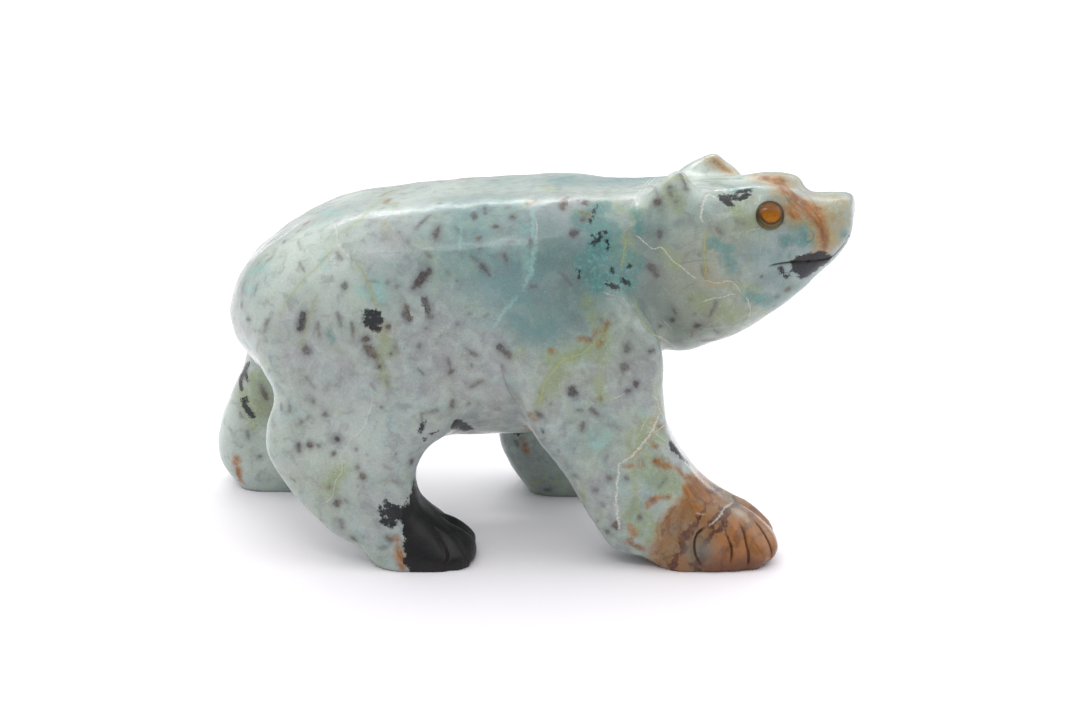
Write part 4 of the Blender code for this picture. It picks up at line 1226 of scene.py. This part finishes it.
def grain_group():
    """One group of grains: how much of its dark body, and of the soft shadow round it, covers a place."""
    inlets = (("Place", "Vector"), ("Size", "Vector"), ("Wobble", "Float"))
    tree, bench, given, out = new_group("grain_body", inlets, (("Body", "Float"), ("Shadow", "Float")))
    along, across, tone = bench.split(given["Place"])
    half_length, half_width, _ = bench.split(given["Size"])
    reach = bench.less(half_length, bench.times(half_width, 0.45))
    beyond = bench.math("MAXIMUM", bench.less(bench.math("ABSOLUTE", along), reach), 0.0)
    away = bench.math("SQRT", bench.add(bench.times(beyond, beyond), bench.times(across, across)))
    taper = bench.ease(bench.math("DIVIDE", bench.math("ABSOLUTE", along), bench.add(half_length, 0.2)),
                       0.1, 1.0, 1.0, 0.6)
    plain = bench.less(away, bench.times(half_width, taper))
    gap = bench.add(plain, bench.times(given["Wobble"], bench.ease(half_width, 0.0, 0.7, 0.35, 1.0)))
    core = bench.ease(gap, 0.05, -0.5, 0.72, 1.2)
    full = bench.ease(half_width, 0.15, 0.6, 0.8, 1.35)
    cover = bench.times(bench.ease(gap, 0.42, -0.3), core, bench.add(tone, 0.1), full)
    tree.links.new(bench.math("MINIMUM", cover, 1.0), out["Body"])
    shadow = bench.times(bench.ease(plain, 1.3, -0.3), tone)
    tree.links.new(bench.times(shadow, bench.ease(half_width, 0.05, 0.5)), out["Shadow"])
    return tree


def line_group():
    """One group of lines: how much of the line itself, and of the soft halo along it, covers a place."""
    inlets = (("Field", "Vector"), ("Wobble", "Float"))
    tree, bench, given, out = new_group("line_body", inlets, (("Line", "Float"), ("Halo", "Float")))
    offset, strength, _ = bench.split(given["Field"])
    place = bench.math("ABSOLUTE", bench.add(offset, given["Wobble"]))
    tree.links.new(bench.times(bench.ease(place, 1.4, 0.2), strength), out["Line"])
    tree.links.new(bench.times(bench.ease(place, 4.5, 0.5), strength), out["Halo"])
    return tree


def stain_group():
    """A stain from a signed reach: full within, gone without, over an edge this soft and this ragged."""
    inlets = (("Reach", "Float"), ("Noise", "Float"), ("Ragged", "Float"), ("Soft", "Float"))
    tree, bench, given, out = new_group("stain", inlets, (("Cover", "Float"),))
    reach = bench.add(given["Reach"], bench.times(given["Noise"], given["Ragged"]))
    share = bench.math("DIVIDE", bench.times(reach, -1.0), given["Soft"])
    tree.links.new(bench.ease(share, -0.5, 0.5), out["Cover"])
    return tree


def polish_group():
    """Hand polish: how rough a place is, and the height in millimetres of its hairline scratches."""
    inlets = (("Place", "Vector"), ("Roughness", "Float"), ("Change", "Float"), ("Scratches", "Float"))
    outlets = (("Roughness", "Float"), ("Height", "Float"))
    tree, bench, given, out = new_group("hand_polish", inlets, outlets)
    cloud = bench.less(bench.noise(given["Place"], *WEAR_NOISE), 0.5)
    fine = bench.less(bench.noise(given["Place"], *SMEAR_NOISE), 0.5)
    change = bench.add(bench.times(cloud, given["Change"]), bench.times(fine, given["Change"], 0.6))
    tree.links.new(bench.add(given["Roughness"], change), out["Roughness"])
    heights = []
    for turn, pace in SCRATCH_SETS:
        stretch = (0.25 * pace, 4.5 * pace, 4.5 * pace)
        placing = ((0, given["Place"]), (2, (turn, 0.7 * turn, turn)), (3, stretch))
        streak = bench.noise(bench.node("ShaderNodeMapping", placing).outputs[0], *SCRATCH_NOISE)
        heights.append(bench.ease(streak, 0.6, 0.72))
    scratches = bench.times(bench.add(*heights), given["Scratches"], -1.0)
    grit = bench.times(fine, given["Scratches"], 0.7)
    tree.links.new(bench.add(scratches, grit), out["Height"])
    return tree


def mottled_ground(bench):
    """The stone before its marks: cloudy patches of related colours, shifted by the broad tints."""
    deep, blue, lilac = bench.split(bench.attribute("tint"))
    pale_and_painted_light, olive = bench.attribute("tint_pale_and_painted_light", "Fac"), bench.attribute("tint_olive", "Fac")
    broad = bench.noise(bench.warped, *BROAD_NOISE)
    ground = colour(*GREY_GREEN)
    for cloud, low, high, most, paint in (
        (broad, 0.42, 0.6, 1.0, GREY),
        (bench.sea, 0.5, 0.66, 0.6, SEA),
        (bench.leaf, 0.53, 0.68, 0.55, LEAF),
        (bench.middle, 0.5, 0.68, 0.7, LILAC),
    ):
        ground = bench.laid(ground, bench.ease(cloud, low, high, 0.0, most), paint)
    patchy = bench.ease(bench.middle, 0.3, 0.6, 0.6, 1.0)
    # The pale tint paints paler stone and also painted highlights and painted light
    for tint, strength, paint in (
        (pale_and_painted_light, 0.85, PALE_AND_PAINTED_LIGHT),
        (blue, 0.85, BLUE),
        (lilac, 0.8, LILAC),
        (deep, 0.8, DEEP),
        (olive, 0.75, OLIVE),
    ):
        ground = bench.laid(ground, bench.times(tint, patchy, strength), paint)
    cloudy = bench.noise(bench.warped, *CLOUDY_NOISE)
    clear = bench.less(1.0, bench.math("MAXIMUM", deep, blue))
    ground = bench.laid(ground, bench.times(bench.ease(cloudy, 0.45, 0.8, 0.0, 0.5), clear), CLOUD)
    return bench.laid(ground, bench.ease(cloudy, 0.5, 0.25, 0.0, 0.4), SHADE), pale_and_painted_light, lilac


def stained(bench, ground, dark, light, stain):
    """The ground with its broad stains, and the golden rust of the muzzle."""
    texture = bench.ease(bench.fine, 0.35, 0.62, 0.4, 1.0)
    teal = bench.laid(colour(*TEAL), bench.ease(bench.fine, 0.36, 0.76, 0.0, 0.85), TEAL_PALE)
    for reach, ragged, soft, strength, paint in (
        (light[2], 2.2, 1.5, 0.65, AQUA),
        (light[1], 3.0, 2.2, 0.65, GREEN),
        (dark[2], 2.6, 1.5, 0.85, teal),
        (light[0], 2.4, 2.0, 1.0, CREAM),
    ):
        cover = bench.group(stain, 0, reach, bench.ragged, ragged, soft)
        ground = bench.laid(ground, bench.times(cover, texture, strength), paint)
    across, _, _ = bench.split(bench.place)
    golden = bench.group(stain, 0, bench.less(dark[1], 1.3), bench.ragged, 2.4, 2.4)
    golden = bench.times(golden, bench.ease(across, *MUZZLE_START), 0.7)
    return bench.laid(ground, golden, GOLD)


def grained(bench, ground):
    """The ground with its dark grains, each in a soft shadow, and small specks and painted highlight glints.
    """
    grain = grain_group()
    wobble = bench.wobble(bench.place, *GRAIN_WOBBLE)
    texture = bench.ease(bench.gritty, 0.34, 0.6, 0.55, 1.0)
    for number in range(GROUPS):
        spot, size = bench.attribute(f"grain_place_{number}"), bench.attribute(f"grain_size_{number}")
        warmth = bench.split(size)[2]
        ground = bench.laid(ground, bench.times(bench.group(grain, 1, spot, size, wobble), 0.85), SHADE)
        body = bench.group(grain, 0, spot, size, wobble)
        paint = bench.laid(colour(*GRAIN_GREY), bench.times(warmth, 0.9), GRAIN_BROWN)
        ground = bench.laid(ground, bench.times(body, texture), paint)
    grit = bench.ease(bench.gritty, 0.3, 0.7, 0.93, 1.07)
    grit = bench.node("ShaderNodeCombineColor", enumerate((grit, grit, grit))).outputs[0]
    ground = bench.mix(1.0, ground, grit, "MULTIPLY")
    specks = bench.times(bench.ease(bench.dust, 0.33, 0.26), bench.ease(bench.middle, 0.42, 0.6, 0.2, 0.6))
    ground = bench.laid(ground, specks, GRAIN_GREY)
    # Painted highlights: tiny pale glints where the dust noise is high
    glints = bench.times(bench.ease(bench.dust, 0.66, 0.74), bench.ease(bench.sea, 0.4, 0.6, 0.15, 0.75))
    return bench.laid(ground, glints, GLINT)


def amber_colour(bench, reach, pale_and_painted_light, lilac):
    """The banded amber of a forepaw: an orange fringe, a tan heel with reddish brown bands, and golden toes
    that are dark near the floor."""
    height = bench.split(bench.place)[2]
    bands = bench.math("SINE", bench.add(bench.times(reach, 1.7), bench.wobble(bench.warped, *BAND_WOBBLE)))
    banded = bench.times(bench.ease(bands, 0.1, 0.9), bench.ease(reach, 15.0, 9.0, 0.2, 1.0),
                         bench.ease(reach, 0.6, 2.2))
    amber = colour(*AMBER_TAN)
    for share, paint in (
        (bench.ease(reach, 2.4, -0.6), AMBER_EDGE),
        (bench.ease(bench.middle, 0.42, 0.6, 0.0, 0.6), AMBER),
        (bench.ease(reach, 8.0, 11.0), AMBER_GOLD),
        (bench.times(banded, bench.ease(bench.fine, 0.3, 0.5, 0.6, 1.0)), AMBER_BROWN),
        (bench.ease(bench.ragged, 0.02, 0.18, 0.0, 0.45), AMBER_BROWN),
        (bench.times(lilac, 0.85), AMBER_GREY),
        (bench.times(pale_and_painted_light, 0.8), AMBER_PALE),
        (bench.times(bench.ease(height, 4.5, 1.0), bench.ease(reach, 6.0, 11.0), 0.75), AMBER_BROWN),
        (bench.ease(bench.fine, 0.52, 0.75, 0.0, 0.5), RUST_DARK),
    ):
        amber = bench.laid(amber, share, paint)
    return amber


def rusted(bench, ground, reach, stain):
    """The ground with its rust, in dark streaks and thinner where it is ochre."""
    placing = ((0, bench.place), (2, (0.0, RUST_TURN, 0.0)), (3, RUST_STREAK))
    streaks = bench.node("ShaderNodeMapping", placing, vector_type="TEXTURE").outputs[0]
    streaks = bench.ease(bench.noise(streaks, *RUST_NOISE), 0.35, 0.65, 0.0, 0.85)
    across, _, height = bench.split(bench.place)
    red = bench.math("MAXIMUM", bench.ease(across, *MUZZLE_START), bench.ease(height, *LEG_TOP))
    rust = bench.laid(bench.laid(colour(*OCHRE), red, RUST), streaks, RUST_DARK)
    thinnest = bench.add(bench.times(red, 0.35), 0.25)
    cover = bench.group(stain, 0, reach, bench.ragged, 2.0, 1.3)
    return bench.laid(ground, bench.times(cover, bench.ease(bench.fine, 0.3, 0.52, thinnest, 0.95)), rust)


def veined(bench, ground, line, plain):
    """The ground with its lines, which grit breaks up except where they are aqua. The yellow ones lie in a
    green halo where the stone is plain. Also gives how much of a line covers each place."""
    wobble = bench.wobble(bench.place, *LINE_WOBBLE)
    broken = bench.ease(bench.gritty, 0.38, 0.56, 0.35, 1.0)
    open_cracks = 0.0
    for number in range(GROUPS):
        field = bench.attribute(f"line_{number}")
        kind = bench.split(field)[2]
        from_aqua = bench.math("ABSOLUTE", bench.less(kind, AQUA_KIND))
        whole = bench.math("MAXIMUM", bench.ease(from_aqua, 0.6, 0.2), broken)
        body = bench.times(bench.group(line, 0, field, wobble), whole)
        from_yellow = bench.math("ABSOLUTE", bench.less(kind, YELLOW_KIND))
        yellowish = bench.times(bench.math("MAXIMUM", bench.less(1.0, from_yellow), 0.0), plain)
        halo = bench.times(bench.group(line, 1, field, wobble), yellowish, 0.4)
        ground = bench.laid(ground, halo, GREEN)
        paint = colour(*LINE_PAINTS[0])
        for step, over in enumerate(LINE_PAINTS[1:]):
            paint = bench.laid(paint, bench.ease(kind, step + 0.2, step + 0.8), over)
        ground = bench.laid(ground, body, paint)
        open_cracks = bench.math("MAXIMUM", body, open_cracks)
    return ground, open_cracks


def blackened(bench, ground, reach, paw, stain):
    """The ground with its black paw and its bitten black marks. Also gives how much of each covers a
    place."""
    black = bench.ease(paw, *BLACK_PAW_FADE)
    bitten = bench.less(bench.noise(bench.place, *BITTEN_NOISE), 0.5)
    solid = bench.add(bench.gritty, bench.times(reach, -0.45))
    marks = bench.times(bench.group(stain, 0, reach, bitten, 2.3, 0.35),
                        bench.ease(solid, 0.32, 0.54, 0.55, 1.0), 0.96)
    jet = bench.laid(colour(*JET), bench.ease(bench.middle, 0.5, 0.75, 0.0, 0.35), JET_GREY)
    jet = bench.laid(jet, bench.times(bench.less(1.0, black), 0.6), JET_BLUE)
    jet = bench.laid(jet, bench.ease(bench.dust, 0.7, 0.78, 0.0, 0.35), GLINT)
    return bench.laid(ground, bench.math("MAXIMUM", black, marks), jet), black, marks


def stone_material():
    """Mottled polished turquoise: ground, stains, veins, cracks and grains, with one black paw and one of
    banded amber."""
    material, tree, shader = new_material("turquoise_stone")
    bench = StoneBench(tree)
    line, stain, worn = line_group(), stain_group(), polish_group()
    place, fine = bench.place, bench.fine
    dark = bench.split(bench.attribute("reach_dark"))
    light = bench.split(bench.attribute("reach_light"))
    ground, pale_and_painted_light, lilac = mottled_ground(bench)
    ground = grained(bench, stained(bench, ground, dark, light, stain))

    amber_paw = bench.add(bench.attribute("amber_paw", "Fac"), bench.wobble(place, *AMBER_PAW_WOBBLE))
    amber_cover = bench.ease(amber_paw, *AMBER_PAW_FADE)
    ground = bench.laid(ground, amber_cover, amber_colour(bench, amber_paw, pale_and_painted_light, lilac))
    ground = rusted(bench, ground, dark[1], stain)
    ground, open_cracks = veined(bench, ground, line, bench.less(1.0, amber_cover))
    black_paw = bench.add(bench.attribute("black_paw", "Fac"), bench.wobble(place, *BLACK_PAW_WOBBLE))
    ground, black, marks = blackened(bench, ground, dark[0], black_paw, stain)
    # Painted shade: the mouth and toe cuts are darkened, more where they are deeper
    cut_shade_share = bench.attribute("groove", "Fac")
    cut_shade_paint = bench.laid(colour(*CUT_SHADE), bench.ease(bench.split(place)[2], *MOUTH_HEIGHT), MOUTH_CUT_SHADE)
    ground = bench.laid(ground, bench.times(cut_shade_share, bench.ease(fine, 0.2, 0.6, 0.55, 0.95)), cut_shade_paint)
    tree.links.new(ground, shader.inputs["Base Color"])

    rough, scratches = (bench.group(worn, outlet, place, *STONE_POLISH) for outlet in range(2))
    rough = bench.add(rough, bench.times(open_cracks, 0.3), bench.times(cut_shade_share, 0.25), bench.times(black, 0.3),
                      bench.times(marks, 0.15))
    tree.links.new(rough, shader.inputs["Roughness"])
    height = bench.add(scratches, bench.times(open_cracks, -0.05), bench.times(bench.middle, 0.05),
                       bench.times(fine, 0.07), bench.times(bench.gritty, 0.02))
    bump = bench.node("ShaderNodeBump", (("Strength", 0.55), ("Distance", MM), ("Height", height)))
    tree.links.new(bump.outputs[0], shader.inputs["Normal"])
    shader.inputs["IOR"].default_value = 1.5
    shader.inputs["Specular IOR Level"].default_value = 0.38
    return material


def eye_material():
    """Amber glass: a disc with a painted glow of light towards its bottom, a dark line round it that is
    painted darker at the bottom as painted shade, and an olive ring.
    """
    material, tree, shader = new_material("amber_glass")
    bench = Bench(tree)
    place = bench.scaled(bench.node("ShaderNodeTexCoord", ()).outputs["Object"], 1 / MM)
    across, up, _ = bench.split(bench.attribute("eye_place"))
    lifted = bench.less(up, AMBER_DISC_LIFT)
    gap = bench.math("SQRT", bench.add(bench.times(across, across), bench.times(lifted, lifted)))
    fine = bench.noise(place, *EYE_NOISE)
    # Painted light: the amber is brighter towards the bottom of the disc, as a glow of light through the dome
    amber = bench.mix(bench.ease(lifted, -1.6, 1.4), colour(*EYE_AMBER_PAINTED_GLOW), colour(*EYE_AMBER))
    amber = bench.mix(bench.ease(fine, 0.5, 0.7, 0.0, 0.75), amber, colour(*EYE_BROWN))
    ring = bench.mix(bench.ease(up, -2.2, -0.2), colour(*EYE_OLIVE), colour(*EYE_OLIVE_DARK))
    ring = bench.mix(bench.ease(fine, 0.4, 0.7, 0.0, 0.5), ring, colour(*EYE_BROWN))
    # Painted shade: the dark line round the disc is darker towards its bottom
    edge = bench.times(bench.ease(gap, AMBER_DISC_RADIUS - 0.45, AMBER_DISC_RADIUS), 0.95)
    edge = bench.times(edge, bench.ease(up, 1.2, -1.2, 0.5, 1.0))
    paint = bench.mix(edge, amber, colour(*EYE_LINE))
    paint = bench.mix(bench.ease(gap, AMBER_DISC_RADIUS, AMBER_DISC_RADIUS + 0.2), paint, ring)
    tree.links.new(paint, shader.inputs["Base Color"])
    rough = bench.ease(fine, 0.3, 0.7, 0.1, 0.22)
    tree.links.new(rough, shader.inputs["Roughness"])
    height = bench.times(fine, 0.03)
    bump = bench.node("ShaderNodeBump", (("Strength", 0.3), ("Distance", MM), ("Height", height)))
    tree.links.new(bump.outputs[0], shader.inputs["Normal"])
    shader.inputs["IOR"].default_value = 1.42
    shader.inputs["Specular IOR Level"].default_value = 0.35
    shader.inputs["Coat Weight"].default_value = 0.12
    shader.inputs["Coat Roughness"].default_value = 0.03
    return material


def cabochon(node, name):
    """A turned cabochon in an eye's seat. Its radius and height are functions of a turn t from the pole: a
    dome r = R sin t, h = H cos t over the disc, then a rounded shoulder down to the face and a skirt below
    it. Every point keeps its place across and up the eye."""
    centre, axis = eye_place(node)
    across = unit(np.cross((0.0, 0.0, 1.0), axis))
    up = np.cross(axis, across)
    t = np.linspace(0, np.pi / 2, EYE_RINGS)
    shoulder = np.linspace(0, np.pi / 2, EYE_RINGS // 2)
    radii = np.concatenate([EYE_DOME_RADIUS * np.sin(t),
                            EYE_DOME_RADIUS + (EYE_RADIUS - EYE_DOME_RADIUS) * np.sin(shoulder),
                            (EYE_RADIUS, EYE_RADIUS * EYE_FOOT_SHARE)])
    heights = np.concatenate([EYE_SHOULDER + (EYE_RISE - EYE_SHOULDER) * np.cos(t),
                              EYE_SHOULDER * np.cos(shoulder) - EYE_SHOULDER_SINK,
                              (-EYE_WALL, -EYE_SKIRT)])
    angles = np.arange(EYE_SEGMENTS) * 2 * np.pi / EYE_SEGMENTS
    spread = np.cos(angles)[None, :, None] * across + np.sin(angles)[None, :, None] * up
    rings = radii[1:, None, None] * spread + heights[1:, None, None] * axis + centre
    pole = centre + heights[0] * axis
    foot = centre + heights[-1] * axis
    count = len(radii) - 1
    places = np.vstack([pole, rings.reshape(-1, 3), foot])
    ring = np.arange(EYE_SEGMENTS)
    after = (ring + 1) % EYE_SEGMENTS
    faces = [(0, 1 + a, 1 + b) for a, b in zip(ring, after)]
    for k in range(count - 1):
        low, high = 1 + k * EYE_SEGMENTS, 1 + (k + 1) * EYE_SEGMENTS
        faces += [(low + a, high + a, high + b, low + b) for a, b in zip(ring, after)]
    last = 1 + (count - 1) * EYE_SEGMENTS
    faces += [(last + b, last + a, len(places) - 1) for a, b in zip(ring, after)]
    body = bpy.data.meshes.new(name)
    body.from_pydata((places * MM).tolist(), [], [tuple(int(v) for v in face) for face in faces])
    body.shade_smooth()
    away = places - centre
    put_values(body, "eye_place", np.stack([away @ across, away @ up, away @ axis], axis=1))
    return added(name, body)


def pale_floor():
    """A flat square under the bear."""
    mesh = bpy.data.meshes.new("floor")
    half = FLOOR_HALF
    corners = [(-half, -half, 0), (half, -half, 0), (half, half, 0), (-half, half, 0)]
    mesh.from_pydata(corners, [], [(0, 1, 2, 3)])
    paint, _, shader = new_material("floor_white")
    shader.inputs["Base Color"].default_value = colour(*FLOOR_COLOUR)
    shader.inputs["Roughness"].default_value = FLOOR_ROUGHNESS
    mesh.materials.append(paint)
    added("floor", mesh)


def view_camera():
    """The camera of the view."""
    data = bpy.data.cameras.new("view")
    data.sensor_width = SENSOR_MM
    data.lens = SENSOR_MM * FOCAL_PIXELS / VIEW_WIDTH
    data.clip_start = CAMERA_CLIP
    camera = added("view", data)
    place, forward, _, _ = camera_place()
    camera.location = place * MM
    camera.rotation_euler = forward.to_track_quat("-Z", "Y").to_euler()
    bpy.context.scene.camera = camera


def soft_light(name, place, aim, size, radiance):
    """A rectangular light that faces what it is aimed at, of this width and length in metres and with a face
    of this brightness."""
    data = bpy.data.lights.new(name, "AREA")
    data.shape = "RECTANGLE"
    data.size, data.size_y = size
    data.energy = radiance * math.pi * size[0] * size[1]
    lamp = added(name, data)
    lamp.location = place
    lamp.rotation_euler = (Vector(aim) - Vector(place)).to_track_quat("-Z", "Y").to_euler()
    lamp.visible_camera = False


def lights():
    """A light tent: a bright roof with two tubes in it, and a dimmer surround."""
    world = bpy.data.worlds.new("tent")
    world.use_nodes = True
    world.node_tree.nodes["Background"].inputs["Color"].default_value = colour(*TENT_COLOUR)
    world.node_tree.nodes["Background"].inputs["Strength"].default_value = TENT_RADIANCE
    bpy.context.scene.world = world
    for name, (place, aim, size, radiance) in LAMPS.items():
        soft_light(name, place, aim, size, radiance)
    bpy.context.scene.view_settings.view_transform = "Standard"


def carved_stone():
    """The bear's own surface: remeshed, smoothed, polished and cut, with what its material needs."""
    bear = remeshed_bear()
    edges = rows_of(bear.data.edges, "vertices", np.int64, 2)
    points = points_of(bear.data)
    put_points(bear.data, seats_filled(smoothed(points, edges, smoothing_passes(points))))
    tree = stone_tree(bear)
    mouth, toes = mouth_chain(tree), toe_chains(tree)
    refined(bear, [mouth] + toes)
    points, normals = points_of(bear.data), rows_of(bear.data.vertex_normals, "vector")
    points = polish(points, normals)
    mouth_sink = cut_grooves(points, normals, [mouth], MOUTH_WIDTH, MOUTH_DEPTH, CUT_RUN_IN)
    toe_sink = cut_grooves(points, normals, toes, TOE_CUT_WIDTH, TOE_CUT_DEPTH, CUT_RUN_IN)
    valleys = cut_grooves(points, normals, toes, TOE_VALLEY_WIDTH, TOE_VALLEY_DEPTH, VALLEY_RUN_IN)
    sink = np.maximum(mouth_sink, toe_sink + valleys)
    low, high = np.array(cad_box) / MM
    points = np.clip(points - normals * sink[:, None], low, high)
    put_points(bear.data, points)
    bear.data.shade_smooth()
    tree = stone_tree(bear)
    grooves = np.maximum(mouth_sink / MOUTH_DEPTH, toe_sink / TOE_CUT_DEPTH)
    put_values(bear.data, "groove", np.clip(grooves, 0, 1))
    put_grains(bear.data, points, normals, grain_list(tree, points, normals))
    put_lines(bear.data, points, normals, line_list(tree, points, normals))
    put_colour_fields(bear.data, tree, points)
    return bear


def placed(piece, node, material):
    """Gives a finished piece its material, and hangs it in the frame in place of a node."""
    piece.data.materials.clear()
    piece.data.materials.append(material)
    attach(piece, "root")
    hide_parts(node)


pale_floor()
view_camera()
lights()
placed(carved_stone(), "bear", stone_material())
amber_glass = eye_material()
for side in ("right", "left"):
    placed(cabochon(f"eye_{side}", f"amber_eye_{side}"), f"eye_{side}", amber_glass)
